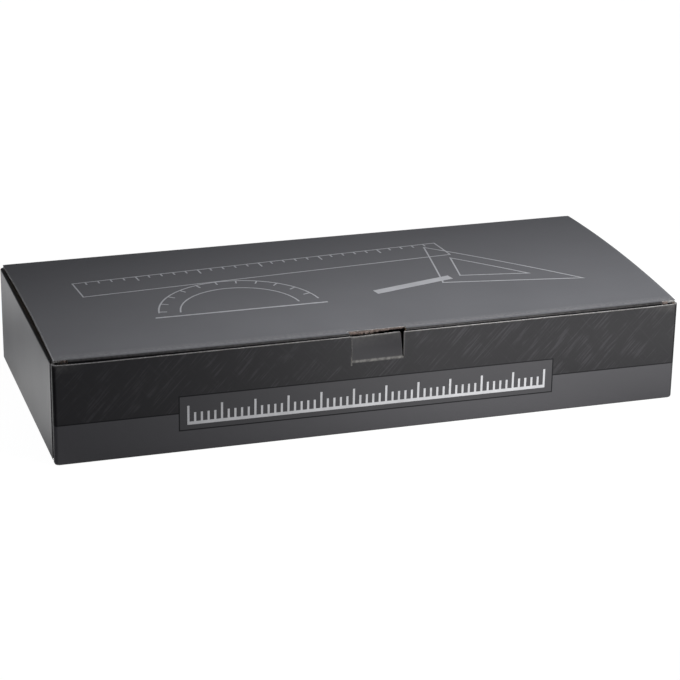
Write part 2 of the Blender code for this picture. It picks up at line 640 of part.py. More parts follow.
def marker():
    """The marker in the pen groove: barrel, plug, ink reservoir, nib in its holder, and cap."""
    edge = MARKER_EDGE
    neck_top = BARREL_LENGTH + NECK_LENGTH
    barrel = [(BORE_RADIUS, neck_top), (NECK_RADIUS, neck_top), (NECK_RADIUS, BARREL_LENGTH),
              (MARKER_RADIUS, BARREL_LENGTH), (MARKER_RADIUS, 0), (BORE_RADIUS, 0)]
    turned("marker_barrel", barrel, along_marker(0), marker_white)
    plug = rounded([(0, PLUG_SEAT), (BORE_RADIUS - FIT, PLUG_SEAT), (BORE_RADIUS - FIT, -FIT),
                    (MARKER_RADIUS, -FIT), (MARKER_RADIUS, -FIT - PLUG_HEAD), (0, -FIT - PLUG_HEAD)],
                   [0, 0, 0, 0, edge, 0])
    turned("marker_end_plug", plug, along_marker(0), marker_black)
    start = PLUG_SEAT + FIT
    end = neck_top - NIB_HOLDER_SEAT - RESERVOIR_END_GAP
    reservoir = [(0, end), (BORE_RADIUS - FIT, end), (BORE_RADIUS - FIT, start), (0, start)]
    turned("marker_reservoir", reservoir, along_marker(0), marker_felt)
    nib_bore = NIB_RADIUS + FIT
    seat = neck_top - NIB_HOLDER_SEAT
    tip = neck_top + NIB_HOLDER_LENGTH - NIB_HOLDER_SEAT
    holder = [(nib_bore, tip), (nib_bore + NIB_HOLDER_TIP, tip), (NECK_RADIUS - FIT, neck_top + FIT + edge),
              (NECK_RADIUS - FIT, neck_top + FIT), (BORE_RADIUS - FIT, neck_top + FIT),
              (BORE_RADIUS - FIT, seat), (nib_bore, seat)]
    turned("marker_nib_holder", holder, along_marker(0), marker_black)
    point = tip + NIB_REACH
    heel = end + FIT
    nib = rounded([(0, point), (NIB_RADIUS, point), (NIB_RADIUS, heel), (0, heel)],
                  [0, NIB_RADIUS * ROUND_NIB_SHARE, 0, 0])
    turned("marker_nib", nib, along_marker(0), marker_felt)
    mouth = BARREL_LENGTH + FIT
    cap_end = BARREL_LENGTH + CAP_LENGTH
    inside = NECK_RADIUS + FIT
    cap = [(0, cap_end), (MARKER_RADIUS, cap_end), (MARKER_RADIUS, mouth), (inside, mouth),
           (inside, cap_end - CAP_END_WALL), (0, cap_end - CAP_END_WALL)]
    turned("marker_cap", rounded(cap, [0, edge * 2, 0, 0, 0, 0]), along_marker(0), marker_black)

SIDES = (("left", -1), ("right", 1))
carton_floor()
front_wall()
back_wall()
for side_label, side_sign in SIDES:
    side_wall(side_label, side_sign)
    side_roll(side_label, side_sign)
    end_block(side_label, side_sign)
    for end_sign in (-1, 1):
        corner_flap(side_label, side_sign, end_sign)
lid()
tuck_flap()
lock_tab()
stand()
writing_panel()
feet()
marker()
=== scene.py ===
# %% [markdown]
# # A black mailing carton of thin corrugated board
# The real object is one die-cut sheet, printed black, folded into a shallow box and closed with a
# press-in lock. A desktop whiteboard lies inside it in two foam blocks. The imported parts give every
# place and size. This lesson gives them their looks: paper layers, fluting, ink, wear and light.

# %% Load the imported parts
import json
import math

import bmesh
import bpy
import numpy as np
from mathutils import Matrix, Vector, noise


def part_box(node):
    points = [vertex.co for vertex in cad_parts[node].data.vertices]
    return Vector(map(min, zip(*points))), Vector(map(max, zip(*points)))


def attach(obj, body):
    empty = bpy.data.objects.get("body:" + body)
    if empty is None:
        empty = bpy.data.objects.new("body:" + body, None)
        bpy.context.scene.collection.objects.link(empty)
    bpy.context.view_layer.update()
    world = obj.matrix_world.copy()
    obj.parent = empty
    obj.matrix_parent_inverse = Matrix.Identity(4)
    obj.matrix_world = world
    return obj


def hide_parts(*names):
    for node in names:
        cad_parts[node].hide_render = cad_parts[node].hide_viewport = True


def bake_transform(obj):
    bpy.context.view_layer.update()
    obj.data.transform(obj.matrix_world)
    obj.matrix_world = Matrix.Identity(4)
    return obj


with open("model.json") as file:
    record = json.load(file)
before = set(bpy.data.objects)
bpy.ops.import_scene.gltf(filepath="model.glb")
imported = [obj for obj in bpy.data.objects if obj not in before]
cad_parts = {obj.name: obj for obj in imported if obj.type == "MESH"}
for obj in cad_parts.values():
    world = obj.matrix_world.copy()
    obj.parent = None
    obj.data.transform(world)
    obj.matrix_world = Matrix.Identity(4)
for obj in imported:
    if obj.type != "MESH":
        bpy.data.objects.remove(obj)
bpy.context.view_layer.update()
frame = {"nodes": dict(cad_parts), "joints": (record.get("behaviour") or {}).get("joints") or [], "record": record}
scene = bpy.context.scene

# %% [markdown]
# The camera comes first, so that every later step can be looked at from the same place. A real
# photograph of a long box is taken with a long lens from well back. The numbers are a place in
# metres, three angles and the focal length, and the frame is square.

# %% The camera
CAMERA_PLACE = Vector((-0.51088, -1.63097, 0.69917))
CAMERA_YAW = math.radians(-17.574)
CAMERA_PITCH = math.radians(-21.331)
CAMERA_ROLL = math.radians(0.852)
SENSOR = 36.0
FOCAL = 125.03


def add_object(name, data):
    """A new object with its data, put in the scene."""
    made = bpy.data.objects.new(name, data)
    scene.collection.objects.link(made)
    return made


camera_data = bpy.data.cameras.new("camera")
camera_data.sensor_width = SENSOR
camera_data.lens = FOCAL
camera = add_object("camera", camera_data)
upright = math.pi / 2
camera.matrix_world = (Matrix.Translation(CAMERA_PLACE)
                       @ Matrix.Rotation(CAMERA_YAW, 4, "Z")
                       @ Matrix.Rotation(upright + CAMERA_PITCH, 4, "X")
                       @ Matrix.Rotation(CAMERA_ROLL, 4, "Z"))
bpy.context.scene.camera = camera
print("camera", [round(value, 3) for value in CAMERA_PLACE], "lens", FOCAL, "mm")

# %% [markdown]
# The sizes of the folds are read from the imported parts, so the paper always fits them. Two parts
# that touch keep a hair's width between them there, and the paper closes that gap.

# %% Sizes of the carton
GAP = 0.0003
joints = {joint["name"]: joint for joint in frame["joints"]}
floor_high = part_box("carton_floor")[1]
wall_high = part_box("front_wall")[1]
lid_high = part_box("lid_panel")[1]
BOARD = floor_high.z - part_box("carton_floor")[0].z
HALF_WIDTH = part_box("side_wall_right")[1].x
HALF_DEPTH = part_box("back_wall")[1].y
ROLL_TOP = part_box("side_wall_right")[1].z
ROLL_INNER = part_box("side_roll_right")[0].x
WALL_TOP = wall_high.z
FRONT_CORNER_X = wall_high.x + GAP
CORNER_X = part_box("back_wall")[1].x + GAP
FOLD = HALF_WIDTH - floor_high.x - GAP
FRONT_FOLD = joints["tuck_flap_fold"]["pos_m"][1]
LID_TOP = joints["tuck_flap_fold"]["pos_m"][2]
BACK_FOLD = lid_high.y
LID_SIDE = lid_high.x
LID_CROWN = lid_high.z - LID_TOP
print("board %.2f mm, fold radius %.2f mm, lid bow %.2f mm" % (BOARD * 1e3, FOLD * 1e3, LID_CROWN * 1e3))

# %% [markdown]
# Corrugated board is three sheets of paper. A printed liner is outside, a plain kraft liner is
# inside, and a waved sheet, the fluting, is glued between them. The fine board of mailing cartons
# is about 1.6 mm thick, and its flutes are about 3.3 mm apart.

# %% Sizes of the paper layers
SKIN = 0.00006
PRINTED_LINER = 0.00028
KRAFT_LINER = 0.00022
FLUTING_PAPER = 0.00016
FLUTE_PITCH = 0.0033
FLUTE_STEPS = 8
INK = 0.00004
FLUTE_DEPTH = (PRINTED_LINER + BOARD - KRAFT_LINER) / 2
FLUTE_HEIGHT = BOARD - PRINTED_LINER - KRAFT_LINER - FLUTING_PAPER - SKIN
ARC_STEPS = 8
print("flute height %.2f mm" % (FLUTE_HEIGHT * 1e3))

# %% [markdown]
# Every finish is a small node tree on Object coordinates, so it stays in the surface when a panel
# turns. These helpers add a node and wire it in one line each.

# %% Helpers that add nodes
def new_finish(name, roughness, specular=0.5, metallic=0.0):
    """An empty Principled finish with its plain numbers set on the shader itself."""
    material = bpy.data.materials.new(name)
    material.use_nodes = True
    shader = material.node_tree.nodes["Principled BSDF"]
    shader.inputs["Roughness"].default_value = roughness
    shader.inputs["Specular IOR Level"].default_value = specular
    shader.inputs["Metallic"].default_value = metallic
    return material, material.node_tree, shader


def node(tree, kind, **values):
    """Add a node. A value goes to the input of that name, or to the property of that name."""
    made = tree.nodes.new(kind)
    for name, value in values.items():
        label = name.replace("_", " ").title()
        if label not in made.inputs:
            setattr(made, name, value)
        elif isinstance(value, bpy.types.NodeSocket):
            tree.links.new(value, made.inputs[label])
        else:
            made.inputs[label].default_value = value
    return made


def sum_node(tree, operation, *terms, clamp=False):
    """A Math node on sockets and numbers, which gives back its output."""
    made = tree.nodes.new("ShaderNodeMath")
    made.operation = operation
    made.use_clamp = clamp
    for socket, term in zip(made.inputs, terms):
        if isinstance(term, bpy.types.NodeSocket):
            tree.links.new(term, socket)
        else:
            socket.default_value = term
    return made.outputs[0]


print("helpers that add nodes ready")

# %% Helpers for masks, colours and grain
def ramp(tree, value, low, high):
    """A smooth step from 0 at low to 1 at high."""
    made = tree.nodes.new("ShaderNodeMapRange")
    made.interpolation_type = "SMOOTHSTEP"
    tree.links.new(value, made.inputs["Value"])
    made.inputs["From Min"].default_value = low
    made.inputs["From Max"].default_value = high
    return made.outputs["Result"]


def blend_colours(tree, factor, first, second):
    """A colour between two, each a colour or a socket."""
    made = tree.nodes.new("ShaderNodeMix")
    made.data_type = "RGBA"
    tree.links.new(factor, made.inputs["Factor"])
    for name, value in (("A", first), ("B", second)):
        socket = next(item for item in made.inputs if item.name == name and item.type == "RGBA")
        if isinstance(value, bpy.types.NodeSocket):
            tree.links.new(value, socket)
        else:
            socket.default_value = (*value, 1.0)
    return next(item for item in made.outputs if item.type == "RGBA")


def grain(tree, scale, detail=2.0, stretch=(1, 1, 1), turn=(0, 0, 0), roughness=0.5):
    """Noise on Object coordinates: scale is in cycles a metre, stretched and turned as asked."""
    on_object = tree.nodes.new("ShaderNodeTexCoord").outputs["Object"]
    turned = node(tree, "ShaderNodeMapping", vector=on_object, rotation=turn).outputs["Vector"]
    stretched = node(tree, "ShaderNodeMapping", vector=turned, scale=stretch).outputs["Vector"]
    made = node(tree, "ShaderNodeTexNoise", vector=stretched, scale=scale, detail=detail, roughness=roughness)
    return made.outputs["Fac"]


def rough_surface(tree, shader, height, distance):
    """Bump of a real height in metres."""
    bump = node(tree, "ShaderNodeBump", strength=1.0, distance=distance, height=height)
    tree.links.new(bump.outputs["Normal"], shader.inputs["Normal"])


print("helpers for finishes ready")

# %% [markdown]
# Black ink on paper is dark when it is seen square on and grey where it is seen at a low angle,
# because the varnish mirrors the room there. So the ink is nearly black, and its sheen comes from
# the shader. The paper shows as a fine grain, the fluting as a faint washboard, and rubbed edges as
# a lighter grey, where an attribute of the mesh says how far. The same lighter grey is also a painted
# highlight along the lid's front fold and the raw front ends of the side walls. Past a value of 2
# the ink is off and the pale paper shows.

# %% Black ink
INK_TONE = (0.0125, 0.0120, 0.0136)
RUBBED_AND_HIGHLIGHT_TONE = (0.16, 0.155, 0.145)
PAPER_TONE = (0.55, 0.54, 0.52)
INK_ROUGHNESS = 0.33
INK_SPECULAR = 0.5
FIBRE_HEIGHT = 0.00002
PEEL_START = 2.0
PEEL_END = 3.0


def inked_paper(name, tone_of=None, sheen_of=None):
    """The black printed liner. tone_of(tree) and sheen_of(tree) may give its colour and its sheen."""
    material, tree, shader = new_finish(name, INK_ROUGHNESS, INK_SPECULAR)
    mottle = grain(tree, 38.0, detail=4.0)
    dark = [channel * 0.84 for channel in INK_TONE]
    light = [channel * 1.2 for channel in INK_TONE]
    tone = tone_of(tree) if tone_of else blend_colours(tree, mottle, dark, light)
    wear = node(tree, "ShaderNodeAttribute", attribute_name="wear").outputs["Fac"]
    breaks = ramp(tree, grain(tree, 420.0, detail=5.0), 0.36, 0.62)
    # Rubbed ink lightens the tone towards grey; along the lid's fold and the side walls' raw ends this is also a
    # painted highlight.
    rubbed_and_highlit = sum_node(tree, "MULTIPLY", wear, sum_node(tree, "MULTIPLY_ADD", breaks, 0.6, 0.4))
    peeled = ramp(tree, wear, PEEL_START, PEEL_END)
    worn = blend_colours(tree, peeled, blend_colours(tree, rubbed_and_highlit, tone, RUBBED_AND_HIGHLIGHT_TONE), PAPER_TONE)
    tree.links.new(worn, shader.inputs["Base Color"])
    cloud = grain(tree, 14.0, detail=3.0)
    gloss = sum_node(tree, "MULTIPLY_ADD", cloud, 0.10, INK_ROUGHNESS - 0.05)
    tree.links.new(gloss, shader.inputs["Roughness"])
    if sheen_of:
        tree.links.new(sheen_of(tree), shader.inputs["Specular IOR Level"])
    fibre = grain(tree, 1500.0, detail=2.0)
    buckle = sum_node(tree, "MULTIPLY", grain(tree, 60.0), 2.0)
    rough_surface(tree, shader, sum_node(tree, "ADD", fibre, buckle), FIBRE_HEIGHT)
    return material


plain_ink = inked_paper("black_ink")
print("ink tone", INK_TONE)

# %% [markdown]
# The front has a printed design: a dark upper band with fine slanting strokes like brushed metal,
# a plain and lighter lower band, a thin dark rule between them and a framed field in the middle.
# The masks are sums on the X and Z of Object coordinates, so the edges stay sharp at any size. The
# rules have less varnish than the bands beside them, so they stay dark where the bands shine.

# %% The design on the front
RULE_HEIGHT = 0.0303
RULE_WIDTH = 0.0009
PRINT_TILT = -0.0036
FIELD_LEFT = -0.1484
FIELD_RIGHT = 0.1391
FIELD_BOTTOM = 0.0172
FIELD_TOP = 0.0428
SOFT_EDGE = 0.00012
FOLD_DULL = 0.0016


def front_masks(tree):
    """Masks of the front's lower band, field, rules and flat part, from Object X and Z."""
    on_object = tree.nodes.new("ShaderNodeTexCoord").outputs["Object"]
    split = node(tree, "ShaderNodeSeparateXYZ", vector=on_object)
    across = split.outputs["X"]
    tilted = sum_node(tree, "MULTIPLY", across, PRINT_TILT)
    height = sum_node(tree, "SUBTRACT", split.outputs["Z"], tilted)

    def between(value, low, high):
        above = ramp(tree, value, low - SOFT_EDGE, low + SOFT_EDGE)
        under = ramp(tree, value, high + SOFT_EDGE, high - SOFT_EDGE)
        return sum_node(tree, "MULTIPLY", above, under)

    def frame_of(margin):
        wide = between(across, FIELD_LEFT - margin, FIELD_RIGHT + margin)
        tall = between(height, FIELD_BOTTOM - margin, FIELD_TOP + margin)
        return sum_node(tree, "MULTIPLY", wide, tall)

    long_rule = between(height, RULE_HEIGHT - RULE_WIDTH / 2, RULE_HEIGHT + RULE_WIDTH / 2)
    field = frame_of(0)
    rules = sum_node(tree, "MAXIMUM", long_rule, frame_of(RULE_WIDTH))
    from_middle = sum_node(tree, "ABSOLUTE", across)
    return {"lower": ramp(tree, height, RULE_HEIGHT + SOFT_EDGE, RULE_HEIGHT - SOFT_EDGE),
            "field": field,
            "rules": sum_node(tree, "MULTIPLY", rules, sum_node(tree, "SUBTRACT", 1.0, field)),
            "flat": ramp(tree, from_middle, FRONT_CORNER_X + FOLD_DULL, FRONT_CORNER_X)}


print("field %.0f x %.1f mm" % ((FIELD_RIGHT - FIELD_LEFT) * 1e3, (FIELD_TOP - FIELD_BOTTOM) * 1e3))

# %% The front's ink and the lock tab's
UPPER_TONE = (0.0112, 0.0105, 0.0118)
LOWER_TONE = (0.0602, 0.059, 0.0632)
FIELD_TONE = (0.047, 0.046, 0.049)
RULE_TONE = (0.006, 0.006, 0.007)
STROKE_ANGLE = math.radians(-42)
STROKE_LIFT = 2.4
DULL_SPECULAR = 0.08
RULE_SPECULAR = 0.28
TAB_LIGHT = (0.0335, 0.0325, 0.0345)
TAB_DARK = (0.0265, 0.0255, 0.0275)


def front_tone(tree):
    """The base colour of the front: two bands, rules, a field, and strokes on the upper band."""
    masks = front_masks(tree)
    strokes = grain(tree, 800.0, detail=2.0, stretch=(1, 1, 0.05), turn=(0, STROKE_ANGLE, 0))
    crossing = grain(tree, 600.0, detail=1.0, stretch=(1, 1, 0.08), turn=(0, -STROKE_ANGLE, 0))
    patches = ramp(tree, grain(tree, 70.0, detail=3.0), 0.36, 0.60)
    fine = sum_node(tree, "MULTIPLY", ramp(tree, strokes, 0.50, 0.66), patches)
    few = sum_node(tree, "MULTIPLY", ramp(tree, crossing, 0.58, 0.72), 0.2)
    hatch = sum_node(tree, "ADD", fine, few, clamp=True)
    upper = blend_colours(tree, hatch, UPPER_TONE, [channel * STROKE_LIFT for channel in UPPER_TONE])
    tone = blend_colours(tree, masks["lower"], upper, LOWER_TONE)
    tone = blend_colours(tree, masks["field"], tone, FIELD_TONE)
    return blend_colours(tree, masks["rules"], tone, RULE_TONE)


def front_sheen(tree):
    """The varnish is thin on the rules, and cracked and dull where the front turns a corner."""
    masks = front_masks(tree)
    less = RULE_SPECULAR - INK_SPECULAR
    printed = sum_node(tree, "MULTIPLY_ADD", masks["rules"], less, INK_SPECULAR - DULL_SPECULAR)
    return sum_node(tree, "MULTIPLY_ADD", masks["flat"], printed, DULL_SPECULAR)


def tab_tone(tree):
    """The lock tab is handled, so its ink is a little greyer all over."""
    return blend_colours(tree, grain(tree, 38.0, detail=4.0), TAB_DARK, TAB_LIGHT)


front_ink = inked_paper("front_ink", front_tone, front_sheen)
tab_ink = inked_paper("tab_ink", tab_tone)
print("front ink and tab ink ready")

# %% [markdown]
# Kraft paper is brown, matt and full of fibres and darker flecks. Where the board is cut, the paper
# is torn a little and looks paler and greyer, so the cut edges have a finish of their own.

# %% Kraft paper and raw edges
KRAFT_LIGHT = (0.40, 0.305, 0.205)
KRAFT_DARK = (0.27, 0.195, 0.125)
EDGE_LIGHT = (0.58, 0.575, 0.565)
EDGE_DARK = (0.30, 0.29, 0.28)
TORN_LIGHT = (0.31, 0.25, 0.225)
TORN_DARK_AND_SHADE = (0.05, 0.038, 0.032)


def bare_paper(name, light, dark, fleck):
    """Unprinted paper: long fibres, flecks and a dry surface."""
    material, tree, shader = new_finish(name, 0.88, 0.25)
    fibres = grain(tree, 900.0, detail=4.0, stretch=(1, 0.2, 1))
    cloud = grain(tree, 70.0, detail=3.0)
    mixed = sum_node(tree, "MULTIPLY_ADD", fibres, 0.6, sum_node(tree, "MULTIPLY", cloud, 0.4))
    base = blend_colours(tree, ramp(tree, mixed, 0.3, 0.7), dark, light)
    flecks = ramp(tree, grain(tree, 1300.0, detail=1.0), 0.66, 0.74)
    some = sum_node(tree, "MULTIPLY", flecks, fleck)
    tree.links.new(blend_colours(tree, some, base, [channel * 0.5 for channel in dark]),
                   shader.inputs["Base Color"])
    rough_surface(tree, shader, fibres, 0.00003)
    return material


kraft = bare_paper("kraft_paper", KRAFT_LIGHT, KRAFT_DARK, 0.5)
raw_edge = bare_paper("raw_edge", EDGE_LIGHT, EDGE_DARK, 0.2)
# The torn paper's very dark tone is partly painted shade, for the dark gap under the torn edges.
torn_paper = bare_paper("torn_paper", TORN_LIGHT, TORN_DARK_AND_SHADE, 1.0)
print("kraft paper and raw edges ready")

# %% [markdown]
# A panel is drawn once, as the line of its outer face across the fold, with the board on its left.
# Round folds are arcs on that line. A paper layer is that line moved into the board by a depth, and
# swept along the fold as a grid. The grid keeps its lengths as attributes, and a place function can
# bend it further.

# %% Lines across a fold
def creased(corners, radii):
    """The corners of a line turned into arcs, each with its own radius."""
    line = []
    for index, (corner, radius) in enumerate(zip(corners, radii)):
        here = Vector(corner)
        if not radius:
            line.append(tuple(here))
            continue
        back = (Vector(corners[index - 1]) - here).normalized()
        onward = (Vector(corners[index + 1]) - here).normalized()
        half = back.angle(onward) / 2
        centre = here + (back + onward).normalized() * radius / math.sin(half)
        start = here + back * radius / math.tan(half) - centre
        turn = (math.pi - 2 * half) * (-1 if back.cross(onward) > 0 else 1)
        for step in range(ARC_STEPS + 1):
            line.append(tuple(centre + Matrix.Rotation(turn * step / ARC_STEPS, 2) @ start))
    line = np.array(line)
    apart = np.linalg.norm(np.diff(line, axis=0), axis=1) > 1e-7
    return line[np.concatenate([[True], apart])]


def divided(line, longest):
    """The line with no stretch longer than a limit."""
    points = [line[0]]
    for before, after in zip(line, line[1:]):
        count = max(1, math.ceil(np.linalg.norm(after - before) / longest))
        points += [before + (after - before) * step / count for step in range(1, count + 1)]
    return np.array(points)


def inward(line, depth):
    """The line moved to its left, into the board."""
    runs = np.diff(line, axis=0)
    runs /= np.linalg.norm(runs, axis=1)[:, None]
    left = np.stack([-runs[:, 1], runs[:, 0]], axis=1)
    mitre = np.vstack([left[:1], left]) + np.vstack([left, left[-1:]])
    return line + mitre * depth * 2 / (mitre * mitre).sum(axis=1)[:, None]


def mirrored(line, side):
    """A line drawn for the right-hand side, or the same for the left."""
    return np.array([(side * a, b) for a, b in line][::side])


def to_space(axis, along, a, b):
    """A point of a section placed in space, the section lying across the named axis."""
    return {"X": (along, a, b), "Y": (a, along, b), "Z": (a, b, along)}[axis]


fold_sample = creased([(0, 1), (0, 0), (1, 0)], [0, FOLD, 0])
print("a fold has", len(fold_sample), "points")

# %% [markdown]
# A paper layer starts as an open grid, because its thickness, its wear and its cut-outs are then
# simple: faces that a keep function refuses are never made. The grid's normals point away from the
# board, which tells the Solidify modifier on which side the paper gets its thickness.

# %% A grid of paper
def stops(*places, step=0.004):
    """Places along a panel, with others between them no further apart than a step."""
    marks = sorted(set(places))
    found = [marks[0]]
    for before, after in zip(marks, marks[1:]):
        count = max(1, math.ceil((after - before) / step - 1e-6))
        found += [before + (after - before) * index / count for index in range(1, count + 1)]
    return np.array(found)


def paper_grid(name, line, axis, across, depth, finishes, place=None, keep=None, wear=None):
    """An open grid on a line, swept along an axis, its faces turned away from the board."""
    rows = inward(line, depth)
    lengths = np.concatenate([[0], np.cumsum(np.linalg.norm(np.diff(line, axis=0), axis=1))])
    place = place or (lambda along, length, a, b: to_space(axis, along, a, b))
    points = [place(along, length, *point) for point, length in zip(rows, lengths) for along in across]
    wide = len(across)
    faces = []
    for i in range(len(rows) - 1):
        middle_row = (rows[i] + rows[i + 1]) / 2
        middle_length = (lengths[i] + lengths[i + 1]) / 2
        for j in range(wide - 1):
            if keep and not keep((across[j] + across[j + 1]) / 2, middle_length, *middle_row):
                continue
            corner = i * wide + j
            faces.append((corner, corner + 1, corner + wide + 1, corner + wide))
    mesh = bpy.data.meshes.new(name)
    mesh.from_pydata(points, [], faces)
    for label, values in (("along", np.tile(across, len(rows))), ("length", np.repeat(lengths, wide))):
        mesh.attributes.new(label, "FLOAT", "POINT").data.foreach_set("value", values.astype(np.float32))
    if wear:
        worn = [wear(*point) for point in points]
        mesh.attributes.new("wear", "FLOAT", "POINT").data.foreach_set("value", np.float32(worn))
    run = line[1] - line[0]
    outward = Vector(to_space(axis, 0, run[1], -run[0]))
    sheet = bmesh.new()
    sheet.from_mesh(mesh)
    loose = [vert for vert in sheet.verts if not vert.link_faces]
    bmesh.ops.delete(sheet, geom=loose, context="VERTS")
    sheet.faces.ensure_lookup_table()
    if sheet.faces[0].normal.dot(outward) < 0:
        bmesh.ops.reverse_faces(sheet, faces=sheet.faces)
    sheet.to_mesh(mesh)
    sheet.free()
    for finish in finishes:
        mesh.materials.append(finish)
    return add_object(name, mesh)


print("paper grid ready")

# %% A paper's thickness
def thicken(thing, thickness, offset=-1.0, rim=0, back=0, even=True):
    """Give a grid a paper's thickness. A rim or back of 1 gives those faces the next finish."""
    shell = thing.modifiers.new("paper", "SOLIDIFY")
    shell.thickness = thickness
    shell.offset = offset
    shell.use_even_offset = even
    shell.material_offset = back
    shell.material_offset_rim = rim
    return thing


def settle(thing):
    """Turn an object's modifiers into a plain mesh, shaded smooth but for its cut edges."""
    graph = bpy.context.evaluated_depsgraph_get()
    mesh = bpy.data.meshes.new_from_object(thing.evaluated_get(graph), preserve_all_data_layers=True,
                                           depsgraph=graph)
    thing.modifiers.clear()
    thing.data = mesh
    mesh.name = thing.name
    mesh.shade_smooth()
    mesh.set_sharp_from_angle(angle=math.radians(42))
    return thing


print("paper tools ready")

# %% [markdown]
# The fluting is a rule, so Geometry Nodes make it. The tree takes a smooth grid in the middle of
# the board and moves each point along its normal by a sine wave of the length across the flutes.
# A little noise makes some flutes lower than others, as the press leaves them.

# %% Helpers for Geometry Nodes
def add_inputs(tree, sockets):
    """Named inputs of a tree with their defaults, and their identifiers by name."""
    found = {}
    for name, kind, value in sockets:
        socket = tree.interface.new_socket(name, in_out="INPUT", socket_type="NodeSocket" + kind.capitalize())
        if value is not None:
            socket.default_value = value
        found[name] = socket.identifier
    tree.interface.new_socket("Geometry", in_out="OUTPUT", socket_type="NodeSocketGeometry")
    return found


def end_tree(tree, geometry, material):
    """Close a tree as every tree here is closed: real geometry, one finish."""
    real = tree.nodes.new("GeometryNodeRealizeInstances")
    paint = tree.nodes.new("GeometryNodeSetMaterial")
    out = tree.nodes.new("NodeGroupOutput")
    tree.links.new(geometry, real.inputs[0])
    tree.links.new(real.outputs[0], paint.inputs["Geometry"])
    tree.links.new(material, paint.inputs["Material"])
    tree.links.new(paint.outputs[0], out.inputs[0])


def use_tree(thing, tree, identifiers, **values):
    """Put a tree on an object and set its inputs by their identifiers."""
    modifier = thing.modifiers.new(tree.name, "NODES")
    modifier.node_group = tree
    for name, value in values.items():
        modifier[identifiers[name.replace("_", " ").capitalize()]] = value


print("tree helpers ready")

# %% The fluting tree
FLUTE_CRUSH = 0.12
FLUTE_SEED = 3.0
UNEVEN_SCALE = 110.0


def fluting_rule():
    """The tree that bends a smooth grid into flutes, and the identifiers of its inputs."""
    tree = bpy.data.node_groups.new("fluting", "GeometryNodeTree")
    identifiers = add_inputs(tree, [
        ("Geometry", "geometry", None), ("Pitch", "float", FLUTE_PITCH), ("Height", "float", FLUTE_HEIGHT),
        ("Crush", "float", FLUTE_CRUSH), ("Seed", "float", FLUTE_SEED), ("Paper", "material", None)])
    given = tree.nodes.new("NodeGroupInput").outputs
    wave_length = node(tree, "GeometryNodeInputNamedAttribute", data_type="FLOAT", name="wave")
    turns = sum_node(tree, "DIVIDE", wave_length.outputs["Attribute"], given["Pitch"])
    wave = sum_node(tree, "SINE", sum_node(tree, "MULTIPLY", turns, math.tau))
    uneven = node(tree, "ShaderNodeTexNoise", noise_dimensions="4D", scale=UNEVEN_SCALE, w=given["Seed"])
    crush = sum_node(tree, "MULTIPLY", uneven.outputs["Fac"], given["Crush"])
    swing = sum_node(tree, "MULTIPLY", sum_node(tree, "SUBTRACT", 1.0, crush), wave)
    lift = sum_node(tree, "MULTIPLY", swing, sum_node(tree, "MULTIPLY", given["Height"], 0.5))
    normal = tree.nodes.new("GeometryNodeInputNormal").outputs[0]
    offset = node(tree, "ShaderNodeVectorMath", operation="SCALE", vector=normal, scale=lift)
    moved = node(tree, "GeometryNodeSetPosition", geometry=given["Geometry"], offset=offset.outputs["Vector"])
    end_tree(tree, moved.outputs["Geometry"], given["Paper"])
    return tree, identifiers


flute_tree, flute_inputs = fluting_rule()
print("fluting tree with", len(flute_tree.nodes), "nodes")

# %% [markdown]
# One function then makes a whole board: the printed liner, the kraft liner and the fluting. Flutes
# run from the front to the back of the flat sheet. So they stand upright in the front and back
# walls, and lie along the side walls.

# %% A board of three papers
def board(name, nodes, body, line, axis, marks, ink=plain_ink, upright_flutes=True, place=None,
          keep=None, wear=None, step=0.008, run=0.008, hollow=0.0, cut=None):
    """The three papers of one panel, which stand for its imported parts. Gives back the printed one."""
    cut = cut or raw_edge
    across = stops(*marks, step=step)
    outside = paper_grid(name + "_print", divided(line, run), axis, across, SKIN, [ink, cut],
                         place, keep, wear)
    settle(thicken(outside, PRINTED_LINER, rim=1, back=1))
    inside = paper_grid(name + "_liner", divided(line, run), axis, across, BOARD - KRAFT_LINER,
                        [cut, kraft], place, keep)
    settle(thicken(inside, KRAFT_LINER, back=1))
    fine = FLUTE_PITCH / FLUTE_STEPS
    flute_line = divided(line, run if upright_flutes else fine)
    low, high = min(marks) + hollow, max(marks) - hollow
    kept_marks = [mark for mark in marks if low < mark < high]
    flute_across = stops(low, *kept_marks, high, step=fine if upright_flutes else run)
    medium = paper_grid(name + "_fluting", flute_line, axis, flute_across, FLUTE_DEPTH, [kraft],
                        place, keep)
    values = np.zeros(len(medium.data.vertices), np.float32)
    medium.data.attributes["along" if upright_flutes else "length"].data.foreach_get("value", values)
    medium.data.attributes.new("wave", "FLOAT", "POINT").data.foreach_set("value", values)
    use_tree(medium, flute_tree, flute_inputs, paper=cut)
    settle(thicken(medium, FLUTING_PAPER, offset=0.0, even=False))
    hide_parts(*nodes)
    for piece, slot_name in ((outside, "black_print"), (inside, "kraft_board"), (medium, "kraft_board")):
        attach(piece, body)
    return outside


print("board maker ready")

# %% [markdown]
# The walls come next. The front wall ends in a raw edge at the top and has the cut for the lock tab.
# Its bottom fold is round. Near the raw edge, the crease and the cut, the ink is rubbed off a
# little, and the wear function says where.

# %% Wear and frayed edges of the front
LOCK_LEFT = -0.01935
LOCK_RIGHT = 0.02095
LOCK_CREASE = joints["lock_tab_fold"]["pos_m"][2]
CUT_OVERRUN = 0.0034
CREASE_RUB = 0.0016
CUT_WEAR = 0.6
EDGE_RUB = 0.0008
FRAY = 0.00016
FRAY_SCALE = 900
CORNER_LIFT = 0.0006
LIFT_START = 0.205
LIFT_REACH = 0.02


def falling(distance, reach):
    """1 at an edge, falling to 0 at a reach from it."""
    return max(0.0, 1 - abs(distance) / reach)


